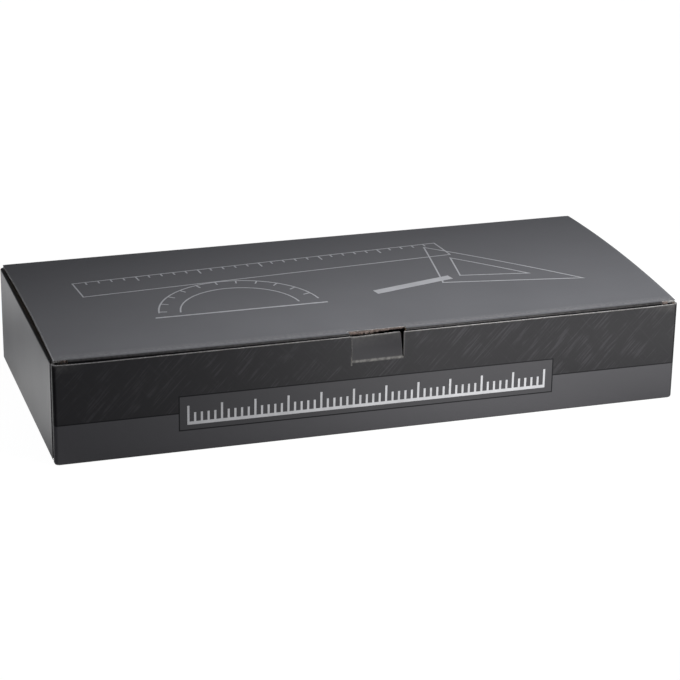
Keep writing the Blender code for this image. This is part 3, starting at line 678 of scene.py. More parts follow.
def front_wear(x, y, z):
    """How far the ink of the front wall is rubbed off."""
    worn = 0.5 * falling(WALL_TOP - z, EDGE_RUB)
    if LOCK_LEFT < x < LOCK_RIGHT and z < LOCK_CREASE + GAP:
        worn = max(worn, 1.6 * falling(LOCK_CREASE - z, CREASE_RUB))
    if z > LOCK_CREASE + GAP:
        rise = (z - LOCK_CREASE) / (WALL_TOP - LOCK_CREASE)
        left = CUT_WEAR * rise * falling(x - LOCK_LEFT, EDGE_RUB)
        worn = max(worn, left, CUT_WEAR * falling(x - LOCK_RIGHT, EDGE_RUB))
    elif z > LOCK_CREASE - CUT_OVERRUN + GAP:
        worn = max(worn, falling(x - LOCK_LEFT, EDGE_RUB))
    return worn


def frayed(x, y, z, amount=FRAY):
    """A small shift of a torn edge, the same in each run."""
    return amount * noise.noise(Vector((x, y, z)) * FRAY_SCALE)


def corner_lift(x, z):
    """The wall's top edge rises a little towards the corners of the carton."""
    outward = max(0.0, (abs(x) - LIFT_START) / (HALF_WIDTH - LIFT_START))
    return CORNER_LIFT * outward * outward * falling(WALL_TOP - z, LIFT_REACH)


print("cut for the tab %.1f mm wide" % ((LOCK_RIGHT - LOCK_LEFT) * 1e3))

# %% Front wall
def front_place(along, length, a, b):
    """The front wall's sweep, its top edge a little ragged."""
    top = falling(WALL_TOP - b, EDGE_RUB)
    return (along, a, b + top * (frayed(along, a, b) - FRAY) + corner_lift(along, b))


def beside_lock(along, length, a, b):
    """Everything but the cut for the lock tab."""
    return not (LOCK_LEFT < along < LOCK_RIGHT and b > LOCK_CREASE)


crease_depths = (CREASE_RUB / 3, CREASE_RUB, CUT_OVERRUN - GAP, CUT_OVERRUN)
front_heights = [WALL_TOP, WALL_TOP - EDGE_RUB, LOCK_CREASE]
front_heights += [LOCK_CREASE - depth for depth in crease_depths]
front_corners = [(-HALF_DEPTH, height) for height in (*front_heights, 0)] + [(-HALF_DEPTH + FOLD, 0)]
front_line = creased(front_corners, [0] * len(front_heights) + [FOLD, 0])
lock_marks = (LOCK_LEFT - EDGE_RUB, LOCK_LEFT, LOCK_LEFT + EDGE_RUB,
              LOCK_RIGHT - EDGE_RUB, LOCK_RIGHT, LOCK_RIGHT + EDGE_RUB)
front_print = board("front_wall", ["front_wall"], "carton", front_line, "X",
                    (-FRONT_CORNER_X, *lock_marks, FRONT_CORNER_X), ink=front_ink, place=front_place,
                    keep=beside_lock, wear=front_wear, step=0.0015)
print("front wall", len(front_print.data.polygons), "faces on the print")

# %% [markdown]
# The back wall carries the lid on its upper fold. The floor has four slots near its sides, where the
# tabs of the rolled side walls go through. Both are plain boards. The floor's grid has lines along
# the slots' edges, so the keep function can leave the slots out exactly.

# %% Back wall and floor
SLOT_WIDTH = 0.0408
SLOT_SPACING = 0.112
SLOT_EASE = 0.0004
SLOT_NEAR = ROLL_INNER - SLOT_EASE
SLOT_FAR = ROLL_INNER + BOARD + SLOT_EASE

back_line = creased([(HALF_DEPTH - FOLD, 0), (HALF_DEPTH, 0), (HALF_DEPTH, LID_TOP - FOLD)], [0, FOLD, 0])
board("back_wall", ["back_wall"], "carton", back_line, "X", (-CORNER_X, CORNER_X))


def pair_edges(half_width):
    """The edges of the two slots in a row, or of the tabs in them, from front to back."""
    return [side * SLOT_SPACING / 2 + edge * half_width for side in (-1, 1) for edge in (-1, 1)]


floor_marks = pair_edges(SLOT_WIDTH / 2)


def beside_slots(along, length, a, b):
    """The floor without the slots for the tabs of the rolled walls."""
    in_row = any(low < a < high for low, high in zip(floor_marks[::2], floor_marks[1::2]))
    return not (in_row and SLOT_NEAR < abs(along) < SLOT_FAR)


floor_end = HALF_DEPTH - FOLD
floor_line = np.array([(place, 0) for place in (-floor_end, *floor_marks, floor_end)])
floor_x = HALF_WIDTH - FOLD
board("carton_floor", ["carton_floor"], "carton", floor_line, "X",
      (-floor_x, -SLOT_FAR, -SLOT_NEAR, SLOT_NEAR, SLOT_FAR, floor_x), keep=beside_slots)
print("slots from %.1f to %.1f mm" % (SLOT_NEAR * 1e3, SLOT_FAR * 1e3))

# %% [markdown]
# A side wall is one board that goes up, rolls over at the top and comes back down inside, where two
# tabs pass through the floor. The print is on the outside of the flat sheet, so it shows on the
# inner face too. The corner flaps of the front and back walls are caught inside the roll.

# %% Rolled side walls
wall_low, side_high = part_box("side_wall_right")
roll_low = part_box("side_roll_right")[0]
SIDE_FRONT = wall_low.y
SIDE_BACK = side_high.y
ROLL_FRONT = roll_low.y
TAB_HALF = 0.020
TAB_FOOT = roll_low.z
ROLL_SAG = 0.0006
ROLL_FLAT = ROLL_TOP - ROLL_SAG
ROLL_CORNER = 0.0018
CREST = (HALF_WIDTH + ROLL_INNER) / 2 - GAP / 2
RAW_END_SETBACK_AND_HIGHLIGHT = 0.0045


def side_wear(x, y, z):
    """The roll's outer corner is rubbed, and a band along the raw front end is lighter: a painted highlight."""
    if abs(x) < CREST:
        return 0.0
    corner = 0.2 * falling(z - ROLL_FLAT, 0.0016)
    # The lighter band along the raw front end is a painted highlight.
    front = 0.5 * falling(y - SIDE_FRONT, RAW_END_SETBACK_AND_HIGHLIGHT)
    return max(corner, front, 0.3 * falling(SIDE_BACK - y, EDGE_RUB))


def rolled_wall(along, length, a, b):
    """The outer half ends short of the front, its inner papers most, and two tabs pass the floor."""
    if abs(a) > CREST:
        inner = abs(a) < HALF_WIDTH - 2 * PRINTED_LINER
        return along > SIDE_FRONT + (RAW_END_SETBACK_AND_HIGHLIGHT if inner else 0)
    on_tab = abs(abs(along) - SLOT_SPACING / 2) < TAB_HALF
    return b > BOARD + GAP or on_tab or abs(a) > ROLL_INNER + 2 * BOARD


side_line = creased([(HALF_WIDTH - FOLD, 0), (HALF_WIDTH, 0), (HALF_WIDTH, ROLL_FLAT), (CREST, ROLL_FLAT),
                     (ROLL_INNER, ROLL_FLAT), (ROLL_INNER, BOARD + GAP), (ROLL_INNER, TAB_FOOT)],
                    [0, FOLD, ROLL_CORNER, 0, ROLL_CORNER, 0, 0])
side_marks = (ROLL_FRONT, SIDE_FRONT, SIDE_FRONT + EDGE_RUB, SIDE_FRONT + RAW_END_SETBACK_AND_HIGHLIGHT,
              *pair_edges(TAB_HALF), SIDE_BACK - EDGE_RUB, SIDE_BACK)
for label, side in (("left", -1), ("right", 1)):
    board("side_wall_" + label, ["side_wall_" + label, "side_roll_" + label], "carton",
          mirrored(side_line, side), "Y", side_marks, upright_flutes=False, keep=rolled_wall, wear=side_wear)
print("rolled walls", round((HALF_WIDTH - ROLL_INNER) * 1e3, 2), "mm wide")

# %% [markdown]
# The front wall turns the corner in a wide round fold that takes up the whole width of the carton.
# Then it steps in behind the raw end of the side wall and goes on as the hidden corner flap. At its
# foot the fold is crushed into a small ball, where three folds meet.

# %% Lines of the corner flaps
flap_low, flap_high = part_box("front_corner_flap_right")
back_flap_low, back_flap_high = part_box("back_corner_flap_right")
FLAP_TAPER = 0.014
FOOT_RUB = 0.002
FOOT_ROW = 0.0015
FLAP_STEP = 0.0024
STEP_ROUND = 0.0018
FRONT_RADIUS = HALF_WIDTH - FRONT_CORNER_X
CORNER_BACK = -0.1016
LEAN_IN = 0.0003
FLAP_FACE = back_flap_high.x
FLAP_TIP = flap_high.y
STEP_END = SIDE_FRONT - 2 * GAP


def flap_line(side, end):
    """The line of a corner flap, seen from above."""
    if end > 0:
        line = creased([(CORNER_X, -HALF_DEPTH), (FLAP_FACE, -HALF_DEPTH), (FLAP_FACE, FLAP_TIP - FLAP_TAPER),
                        (FLAP_FACE, FLAP_TIP)], [0, FOLD, 0, 0])
        return np.array([(a, -b) for a, b in mirrored(line, side)][::-1])
    line = creased([(FRONT_CORNER_X, -HALF_DEPTH), (HALF_WIDTH, -HALF_DEPTH),
                    (HALF_WIDTH, FRONT_RADIUS - HALF_DEPTH + GAP),
                    (HALF_WIDTH - LEAN_IN, STEP_END - FLAP_STEP), (FLAP_FACE, STEP_END),
                    (FLAP_FACE, FLAP_TIP - FLAP_TAPER), (FLAP_FACE, FLAP_TIP)],
                   [0, FRONT_RADIUS, 0, STEP_ROUND, GAP * 2, 0, 0])
    return mirrored(line, side)


print("flap face at %.2f mm, step ends at %.2f mm" % (FLAP_FACE * 1e3, STEP_END * 1e3))

# %% Corner flaps
def back_flap_place(along, length, a, b):
    """The lower corner of the flap's tip is cut away on a slant."""
    past = max(0.0, abs(HALF_DEPTH - abs(b)) - (FLAP_TIP + HALF_DEPTH - FLAP_TAPER))
    share = (back_flap_high.z - along) / (back_flap_high.z - back_flap_low.z)
    return (a, b, along + share * past)


def front_flap_place(along, length, a, b):
    """The same slant, a ragged top, and a foot that rounds in like the bottom fold beside it."""
    x, y, z = back_flap_place(along, length, a, b)
    if y < CORNER_BACK:
        z += falling(WALL_TOP - z, EDGE_RUB) * (frayed(x, y, z) - FRAY) + corner_lift(x, z)
        outer = Vector((a, b))
        inner = Vector((math.copysign(FRONT_CORNER_X, a), max(b, FRONT_RADIUS - HALF_DEPTH)))
        drawn = FOLD - math.sqrt(max(0.0, FOLD ** 2 - max(0.0, FOLD - z) ** 2))
        x, y = outer + (inner - outer).normalized() * drawn
    return (x, y, z)


def corner_keep(along, length, a, b):
    """Only the fold itself has the carton's whole height."""
    return b < CORNER_BACK or back_flap_low.z < along < back_flap_high.z


def corner_wear(x, y, z):
    """The fold's top edge is rubbed like the wall's, and its foot is scuffed."""
    return 0.5 * max(falling(WALL_TOP - z, EDGE_RUB), falling(z - flap_low.z, FOOT_RUB))


flap_marks = (back_flap_low.z, back_flap_high.z)
fold_marks = (flap_low.z, FOOT_ROW, *flap_marks, WALL_TOP - EDGE_RUB, WALL_TOP)
for label, side in (("left", -1), ("right", 1)):
    name = "front_corner_flap_" + label
    board(name, [name], "carton", flap_line(side, -1), "Z", fold_marks, ink=front_ink,
          upright_flutes=False, place=front_flap_place, keep=corner_keep, wear=corner_wear)
    name = "back_corner_flap_" + label
    board(name, [name], "carton", flap_line(side, 1), "Z", flap_marks,
          upright_flutes=False, place=back_flap_place)
print("front fold", round(FRONT_RADIUS * 1e3, 1), "mm round")

# %% [markdown]
# The lid is bowed between its folds and its front fold isn't straight: it lies almost at the front
# in the middle and further back at its ends. The bow in plan is one smooth function of X, and
# everything that belongs to the lid's front follows it.

# %% The lid's own shape
FOLD_START = -0.1030
LID_HOLLOW = 0.0011
NOTCH_EDGE = FRONT_FOLD + 0.0012
TUCK_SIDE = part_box("tuck_flap")[1].x
SLOT_LEFT = -0.02085
SLOT_RIGHT = 0.02245
SLOT_FRAY = 0.0009
SLOT_BACK = 0.0012
SLOT_DEEP = 0.0012
BOW_MIDDLE = 0.0008
BOW_LEFT = 0.0042
BOW_RIGHT = 0.0027
BOW_REACH = 0.08
BOW_POWER = 1.6
LID_FLARE = 0.0012
LID_ROWS = 27
FOLD_RUB_AND_HIGHLIGHT = 0.0016
SIDE_WEAR = 0.35
SIDE_PEEL = 3.6
NOMINAL_BOW = FRONT_FOLD + HALF_DEPTH


def crown(y):
    """How far the bowed lid stands above its folds."""
    share = (y - FRONT_FOLD) / (BACK_FOLD - FRONT_FOLD)
    return LID_CROWN * 4 * share * (1 - share)


def fold_setback(x):
    """How far behind the front of the carton the lid's fold lies."""
    end = BOW_LEFT if x < 0 else BOW_RIGHT
    return BOW_MIDDLE + (end - BOW_MIDDLE) * (abs(x) / LID_SIDE) ** BOW_POWER


def lid_shift(x, y):
    """How far a point of the lid lies behind its place on a straight fold."""
    share = min(1.0, max(0.0, (FRONT_FOLD + BOW_REACH - y) / BOW_REACH))
    return (fold_setback(x) - NOMINAL_BOW) * share * share


print("fold set back %.1f mm on the left, %.1f mm on the right" % (BOW_LEFT * 1e3, BOW_RIGHT * 1e3))

# %% The lid
def lid_place(along, length, a, b):
    """The lid's sweep, moved with its front fold, and torn a little at the lock slot."""
    shift = lid_shift(along, a)
    if SLOT_LEFT - GAP < along < SLOT_RIGHT + GAP and a < FOLD_START + GAP:
        deep = LID_TOP + crown(a) - b > 2 * PRINTED_LINER
        shift += SLOT_BACK + frayed(along, 0, 0, SLOT_FRAY) + (SLOT_DEEP if deep else 0)
    outer = max(0.0, (along - TUCK_SIDE) / (LID_SIDE - TUCK_SIDE))
    flare = LID_FLARE * outer * (BACK_FOLD - a) / (BACK_FOLD - FRONT_FOLD)
    return (along + flare, a + shift, b)


def lid_keep(along, length, a, b):
    """In front of the fold's start only the two corners go on."""
    return a > FOLD_START or abs(along) > TUCK_SIDE


def lid_wear(x, y, z):
    """The lid's fold line is lighter, partly rubbed ink and partly a painted highlight, and its left side pales
    more and more towards the front.
    """
    forward = max(0.0, (BACK_FOLD - y) / (BACK_FOLD - FRONT_FOLD))
    peel = SIDE_PEEL * forward * forward if x < 0 else 0
    sides = (SIDE_WEAR + peel) * falling(LID_SIDE - abs(x), EDGE_RUB)
    # Lighter along the fold's start: rubbed ink together with a painted highlight.
    return max(sides, 0.5 * falling(y - lid_shift(x, y) - FOLD_START, FOLD_RUB_AND_HIGHLIGHT))


lid_rows = [BACK_FOLD - (BACK_FOLD - FOLD_START) * row / LID_ROWS for row in range(LID_ROWS + 1)]
lid_rows[0] = HALF_DEPTH - FOLD
lid_line = np.array([(y, LID_TOP + crown(y)) for y in (*lid_rows, NOTCH_EDGE)])
board("lid", ["lid_panel"], "lid", lid_line, "X",
      (-LID_SIDE, -LID_SIDE + EDGE_RUB, -TUCK_SIDE, SLOT_LEFT,
       SLOT_RIGHT, TUCK_SIDE, LID_SIDE - EDGE_RUB, LID_SIDE),
      place=lid_place, keep=lid_keep, wear=lid_wear, step=0.002, hollow=LID_HOLLOW)
print("lid bow %.1f mm" % (LID_CROWN * 1e3))

# %% [markdown]
# A crease crushes the fluting, so the board is one dense layer there. Each living hinge is therefore
# a solid strip between an outer and an inner curve. It blends from one body to the next. The strips
# are closed meshes, made by the two functions that also serve the torn edges and the lines on the lid.

# %% Closed solids
def swept_faces(corners, stations, first=0, ends=True):
    """The faces of a closed section carried through its stations, and its two ends."""
    faces = []
    for station in range(stations - 1):
        start = first + station * corners
        for side in range(corners):
            after = (side + 1) % corners
            faces.append((start + side, start + after, start + corners + after, start + corners + side))
    if ends:
        last = first + (stations - 1) * corners
        faces.append(tuple(range(first, first + corners))[::-1])
        faces.append(tuple(range(last, last + corners)))
    return faces


def closed_solid(name, points, faces, finishes, finish_numbers=None, wear=None):
    """A closed mesh from points and faces, turned outwards, as an object of its own."""
    mesh = bpy.data.meshes.new(name)
    mesh.from_pydata(points, [], faces)
    for finish in finishes:
        mesh.materials.append(finish)
    if finish_numbers:
        mesh.polygons.foreach_set("material_index", finish_numbers)
    if wear:
        mesh.attributes.new("wear", "FLOAT", "POINT").data.foreach_set("value", np.float32(wear))
    solid = bmesh.new()
    solid.from_mesh(mesh)
    bmesh.ops.triangulate(solid, faces=[face for face in solid.faces if len(face.verts) > 4])
    bmesh.ops.recalc_face_normals(solid, faces=solid.faces)
    solid.to_mesh(mesh)
    solid.free()
    return add_object(name, mesh)


print("closed solids ready")

# %% Living hinges
FOLD_ROWS = 12
CREASE_SHARP = math.radians(50)


def crease_strip(name, outer, inner, places, wear):
    """A closed strip between two families of curves, each a function of X and of the way along."""
    shares = [row / FOLD_ROWS for row in range(FOLD_ROWS + 1)]
    outline = [(outer, share) for share in shares] + [(inner, share) for share in shares[::-1]]
    points = [(x, *curve(x, share)) for x in places for curve, share in outline]
    worn = [wear * math.sin(math.pi * share) if curve is outer else 0.0 for curve, share in outline]
    numbers = [0] * FOLD_ROWS + [1] * (len(outline) - FOLD_ROWS)
    strip = closed_solid(name, points, swept_faces(len(outline), len(places)), [plain_ink, kraft],
                         numbers * (len(places) - 1) + [1, 1], worn * len(places))
    strip.data.shade_smooth()
    strip.data.set_sharp_from_angle(angle=CREASE_SHARP)
    return strip


back_z = LID_TOP - FOLD
lid_back = HALF_DEPTH - FOLD


def back_curve(radius):
    """The round back fold at one radius, as a family of curves."""
    def curve(x, share):
        turn = share * math.pi / 2
        rise = crown(lid_back) * share
        return (lid_back + radius * math.cos(turn), back_z + radius * math.sin(turn) + rise)
    return curve


back_strip = crease_strip("back_crease", back_curve(FOLD - SKIN), back_curve(FOLD - BOARD),
                          stops(-CORNER_X, CORNER_X, step=0.01), wear=0.25)
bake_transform(back_strip)
print("back crease", len(back_strip.data.polygons), "faces")

# %% [markdown]
# The tuck flap hangs from the lid's front fold and leans in behind the front wall. It has round
# corners, so it finds its way in, and a window that takes the lock tab. The fold between them is a
# cubic curve from the lid's face to the flap's, with a tight one inside it.

# %% Front crease
TUCK_LEAN = math.radians(12)
TUCK_DEPTH = 0.032
TUCK_START = 0.0022
TUCK_CORNER = 0.012
WINDOW_DEPTH = 0.018
TUCK_EASE = 0.025


def bezier(points, share):
    """A point on a cubic curve."""
    first, second, third, fourth = (Vector(point) for point in points)
    rest = 1 - share
    ends = rest ** 3 * first + share ** 3 * fourth
    return ends + 3 * rest * share * (rest * second + share * third)


def tuck_shift(x, depth):
    """The flap's top follows the lid's fold where that lies further back."""
    ease = max(0.0, 1 - depth / TUCK_EASE)
    return max(0.0, fold_setback(x) - NOMINAL_BOW) * ease


def tuck_point(x, depth, into):
    """A point of the flap at a depth below the fold and a depth into its board."""
    y = FRONT_FOLD + depth * math.sin(TUCK_LEAN) + into * math.cos(TUCK_LEAN) + tuck_shift(x, depth)
    return (y, LID_TOP - depth * math.cos(TUCK_LEAN) + into * math.sin(TUCK_LEAN))


def front_outer(x, share):
    """The rounded nose of the fold, from the lid's face to the flap's."""
    start = (FOLD_START + lid_shift(x, FOLD_START), LID_TOP + crown(FOLD_START) - SKIN)
    end = tuck_point(x, TUCK_START, SKIN)
    nose = -HALF_DEPTH + fold_setback(x)
    pull = (nose - (start[0] + end[0]) / 8) / 0.75
    return bezier([start, (pull, start[1] - 0.0001), (pull, end[1] + 0.0008), end], share)


def front_inner(x, share):
    """The inside of the fold, from the lid's underside to the flap's back."""
    start = (FOLD_START + lid_shift(x, FOLD_START), LID_TOP + crown(FOLD_START) - BOARD)
    end = tuck_point(x, TUCK_START, BOARD)
    middle = (start[0] - 0.0008, start[1] - 0.0001)
    return bezier([start, middle, (end[0], end[1] + 0.0004), end], share)


for label, ends in (("left", (-TUCK_SIDE, SLOT_LEFT)), ("right", (SLOT_RIGHT, TUCK_SIDE))):
    front_strip = crease_strip("front_crease_" + label, front_outer, front_inner, stops(*ends), wear=0.3)
    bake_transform(front_strip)
print("front crease in 2 strips, nose set back by", BOW_MIDDLE * 1e3, "mm in the middle")

# %% Tuck flap
def tuck_place(along, length, a, b):
    """The flap's sweep, leaning inwards, narrowed by its round corners."""
    past = max(0.0, -b - (TUCK_DEPTH - TUCK_CORNER))
    half_width = TUCK_SIDE - TUCK_CORNER + math.sqrt(max(0.0, TUCK_CORNER ** 2 - past ** 2))
    x = along * half_width / TUCK_SIDE
    return (x, *tuck_point(x, -b, a))


def beside_window(along, length, a, b):
    """The flap without the window that the lock tab enters."""
    return not (SLOT_LEFT < along < SLOT_RIGHT and -b < WINDOW_DEPTH)


corner_stops = [TUCK_DEPTH - TUCK_CORNER + TUCK_CORNER * math.sin(turn * math.pi / 16) for turn in range(9)]
tuck_line = np.array([(0, -depth) for depth in (TUCK_START, WINDOW_DEPTH, *corner_stops)])
board("tuck_flap", ["tuck_flap"], "tuck_flap", tuck_line, "X", (-TUCK_SIDE, SLOT_LEFT, SLOT_RIGHT, TUCK_SIDE),
      place=tuck_place, keep=beside_window, cut=kraft)
print("tuck flap", TUCK_DEPTH * 1e3, "mm deep")

# %% [markdown]
# The edges of the lock slot and of the lid's two cut corners were torn, not cut. Crushed fluting hangs
# out of them below the printed liner: at the slot more on the left, at the corners the whole board's
# thickness. Each is a closed section swept along X, its lower edge moved by noise. Its back hangs
# deepest, and its paper is partly very dark: painted shade for the dark gap under the torn edge.

# %% Torn edges
TEAR_STEP = 0.0004
TEAR_BACK = 0.0022
TEAR_NOISE = 1.1
TEAR_COARSE = 500
TEAR_FINE = 1700
TEAR_SHADE_DEPTH = 1.15
NOTCH_TEAR = 0.005


def torn_section(x, cut, hang):
    """The corners of a torn strip's section at X, where the printed liner ends at the Y called cut."""
    front = cut + lid_shift(x, cut)
    top = LID_TOP + crown(cut) - SKIN - PRINTED_LINER
    coarse = noise.noise(Vector((x * TEAR_COARSE, 3.0, 0.0)))
    fine = noise.noise(Vector((x * TEAR_FINE, 7.0, 0.0)))
    drop = BOARD * min(1.5, max(0.08, hang(x) + TEAR_NOISE * (coarse + 0.6 * fine)))
    proud = 0.0003 * (1 + noise.noise(Vector((x * 900, 11.0, 0.0))))
    # The back corner hangs deepest, a dark piece of painted shade that fills the gap under the torn edge.
    return [(front - proud * 0.4, top), (front - proud, top - drop * 0.5), (front - proud * 0.3, top - drop),
            (front + TEAR_BACK, top - max(drop, BOARD * (TEAR_SHADE_DEPTH + 0.4 * fine))), (front + TEAR_BACK, top)]


def torn_strip(name, low, high, cut, hang):
    """A closed ragged strip under the printed liner, which rides with the lid."""
    places = stops(low, high, step=TEAR_STEP)
    points = [(x, *corner) for x in places for corner in torn_section(x, cut, hang)]
    faces = swept_faces(len(points) // len(places), len(places))
    strip = closed_solid(name, points, faces, [torn_paper])
    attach(strip, "lid")


def slot_hang(x):
    """How far the slot's fragments hang, in boards: far on the left, little on the right."""
    along = (x - SLOT_LEFT) / (SLOT_RIGHT - SLOT_LEFT)
    start = 0.8 * max(0.0, 1 - along / 0.12)
    return 1.4 - start - 1.1 * min(1.0, max(0.0, (along - 0.3) / 0.45))


torn_strip("slot_tear", SLOT_LEFT + GAP, SLOT_RIGHT - GAP, FOLD_START, slot_hang)
for label, side in (("left", -1), ("right", 1)):
    notch = sorted((side * (TUCK_SIDE + GAP), side * (TUCK_SIDE + NOTCH_TEAR)))
    torn_strip("notch_tear_" + label, *notch, NOTCH_EDGE + GAP, lambda x: 1.5)
print("torn strips", 3)

# %% [markdown]
# The lock tab is cut on three sides and pressed in at the top. Its raw edges show pale all round,
# and the crease at its foot has lost its ink.

# %% Lock tab
tab_low, tab_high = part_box("lock_tab")
TAB_LEAN = math.radians(4)
TAB_CORNER = 0.0012
TAB_START = 0.0008
TAB_TWIST = 0.0020
TAB_TRIM = 0.0009
TAB_FOOT_RUB = 0.0011
TAB_TOP_RUB = 0.0014
TAB_CENTRE = (tab_low.x + tab_high.x) / 2
TAB_HALF_WIDTH = (tab_high.x - tab_low.x) / 2
TAB_LENGTH = (tab_high.z - LOCK_CREASE) / math.cos(TAB_LEAN)


def tab_wear(x, y, z):
    """The tab's edges and its foot are rubbed."""
    side = min(x - tab_low.x, tab_high.x - x)
    foot = falling(z - tab_low.z, TAB_FOOT_RUB)
    return max(0.3 * falling(side, EDGE_RUB), 0.5 * foot, falling(z - tab_high.z, TAB_TOP_RUB))


def tab_place(along, length, a, b):
    """The tab's sweep, leaning in from its crease, with round top corners."""
    past = max(0.0, b - (TAB_LENGTH - TAB_CORNER))
    trim = TAB_CORNER - math.sqrt(max(0.0, TAB_CORNER ** 2 - past ** 2))
    x = TAB_CENTRE + (along - TAB_CENTRE) * (TAB_HALF_WIDTH - trim) / TAB_HALF_WIDTH
    rise = b / TAB_LENGTH
    rightward = (along - tab_low.x) / (tab_high.x - tab_low.x)
    x -= TAB_TRIM * rise * max(0.0, 2 * rightward - 1)
    twist = TAB_TWIST * rightward * rise * rise
    y = -HALF_DEPTH + b * math.sin(TAB_LEAN) + a * math.cos(TAB_LEAN) + twist
    z = LOCK_CREASE + b * math.cos(TAB_LEAN) - a * math.sin(TAB_LEAN)
    ragged = falling(TAB_LENGTH - b, TAB_CORNER) * (frayed(along, a, b) - FRAY)
    return (x, y, z + ragged)


tab_heights = [TAB_LENGTH - TAB_CORNER + TAB_CORNER * math.sin(turn * math.pi / 8) for turn in range(5)]
tab_line = np.array([(0, height) for height in (*tab_heights[::-1], 2 * TAB_START, TAB_START)])
board("lock_tab", ["lock_tab"], "lock_tab", tab_line, "X",
      (tab_low.x, tab_low.x + EDGE_RUB, tab_high.x - EDGE_RUB, tab_high.x),
      ink=tab_ink, place=tab_place, wear=tab_wear, step=0.001)


def tab_foot(depth):
    """A curve family for the tab's crease at a depth into the board."""
    def curve(x, share):
        height = TAB_START * share
        lean = TAB_LEAN * share
        return (-HALF_DEPTH + height * math.sin(lean) + depth * math.cos(lean),
                LOCK_CREASE + height * math.cos(lean) - depth * math.sin(lean))
    return curve


lock_strip = crease_strip("lock_crease", tab_foot(SKIN), tab_foot(BOARD),
                          stops(tab_low.x, tab_high.x, step=0.001), wear=1.6)
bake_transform(lock_strip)
print("lock tab %.1f x %.1f mm" % ((tab_high.x - tab_low.x) * 1e3, TAB_LENGTH * 1e3))

# %% [markdown]
# The pale print on the front is a plain scale like a ruler's: a bar with a tick at each step and a
# longer one at each fifth. It is a rule again, so Geometry Nodes set the ticks out. The ink is a
# closed layer a few hundredths of a millimetre thick, just proud of the black.

# %% Pale ink
PALE_TONE = (0.52, 0.52, 0.53)


def pale_tone(tree):
    """The pale ink's base colour, a little uneven over the paper's grain."""
    cloud = ramp(tree, grain(tree, 90.0, detail=4.0), 0.25, 0.75)
    return blend_colours(tree, cloud, [channel * 0.86 for channel in PALE_TONE], PALE_TONE)


pale_ink = inked_paper("pale_ink", pale_tone)
print("pale tone", PALE_TONE)

# %% The rule of the scale
SCALE_COUNT = 56
SCALE_STEP = 0.005
TICK_WIDTH = 0.0016
TICK_SHORT = 0.007
TICK_TALL = 0.0125
TALL_EVERY = 5
BAR_HEIGHT = 0.0024
SCALE_BASE = 0.0232


def scale_rule():
    """The tree that sets out the bar and its ticks, and the identifiers of its inputs."""
    tree = bpy.data.node_groups.new("scale", "GeometryNodeTree")
    identifiers = add_inputs(tree, [
        ("Geometry", "geometry", None), ("Count", "int", SCALE_COUNT), ("Spacing", "float", SCALE_STEP),
        ("Tick width", "float", TICK_WIDTH), ("Short", "float", TICK_SHORT), ("Tall", "float", TICK_TALL),
        ("Every", "int", TALL_EVERY), ("Bar", "float", BAR_HEIGHT), ("Ink", "float", INK),
        ("Paper", "material", None)])
    given = tree.nodes.new("NodeGroupInput").outputs

    def vector(**values):
        return node(tree, "ShaderNodeCombineXYZ", **values).outputs[0]

    cube = tree.nodes.new("GeometryNodeMeshCube").outputs["Mesh"]
    index = tree.nodes.new("GeometryNodeInputIndex").outputs[0]
    left_over = sum_node(tree, "MODULO", index, given["Every"])
    is_tall = sum_node(tree, "LESS_THAN", left_over, 0.5)
    extra = sum_node(tree, "SUBTRACT", given["Tall"], given["Short"])
    height = sum_node(tree, "MULTIPLY_ADD", extra, is_tall, given["Short"])
    line = node(tree, "GeometryNodeMeshLine", count=given["Count"], offset=vector(x=given["Spacing"]))
    tick = node(tree, "GeometryNodeTransform", geometry=cube, translation=(0, 0, 0.5))
    ticks = node(tree, "GeometryNodeInstanceOnPoints", points=line.outputs["Mesh"],
                 instance=tick.outputs["Geometry"],
                 scale=vector(x=given["Tick width"], y=given["Ink"], z=height))
    steps = sum_node(tree, "SUBTRACT", given["Count"], 1.0)
    long_run = sum_node(tree, "MULTIPLY", steps, given["Spacing"])
    whole = sum_node(tree, "ADD", long_run, given["Tick width"])
    middle = vector(x=sum_node(tree, "MULTIPLY", long_run, 0.5),
                    z=sum_node(tree, "MULTIPLY", given["Bar"], -0.5))
    bar = node(tree, "GeometryNodeTransform", geometry=cube, translation=middle,
               scale=vector(x=whole, y=given["Ink"], z=given["Bar"]))
    joined = tree.nodes.new("GeometryNodeJoinGeometry")
    tree.links.new(bar.outputs["Geometry"], joined.inputs[0])
    tree.links.new(ticks.outputs["Instances"], joined.inputs[0])
    end_tree(tree, joined.outputs[0], given["Paper"])
    return tree, identifiers


scale_tree, scale_inputs = scale_rule()
print("scale tree with", len(scale_tree.nodes), "nodes")

# %% The scale on the front
front_scale = add_object("front_scale", bpy.data.meshes.new("front_scale"))
use_tree(front_scale, scale_tree, scale_inputs, count=SCALE_COUNT, spacing=SCALE_STEP, paper=pale_ink)
settle(front_scale)
scale_left = (FIELD_LEFT + FIELD_RIGHT) / 2 - SCALE_STEP * (SCALE_COUNT - 1) / 2
scale_place = Vector((scale_left, -HALF_DEPTH + SKIN - INK / 4, SCALE_BASE + PRINT_TILT * scale_left))
tilt = Matrix.Rotation(-math.atan(PRINT_TILT), 4, "Y")
front_scale.data.transform(Matrix.Translation(scale_place) @ tilt)
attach(front_scale, "carton")
print("scale ticks", SCALE_COUNT, "faces", len(front_scale.data.polygons))

# %% [markdown]
# The lid carries thin line drawings of drafting tools: a long straightedge, a set square, an arc and
# a solid bar. Each stroke is a flat ribbon laid on the bow of the lid, so it takes the light as the
# lid does.

# %% Line drawings on the lid
THIN = 0.0012
BOLD = 0.0018
MITRE_LIMIT = 0.3


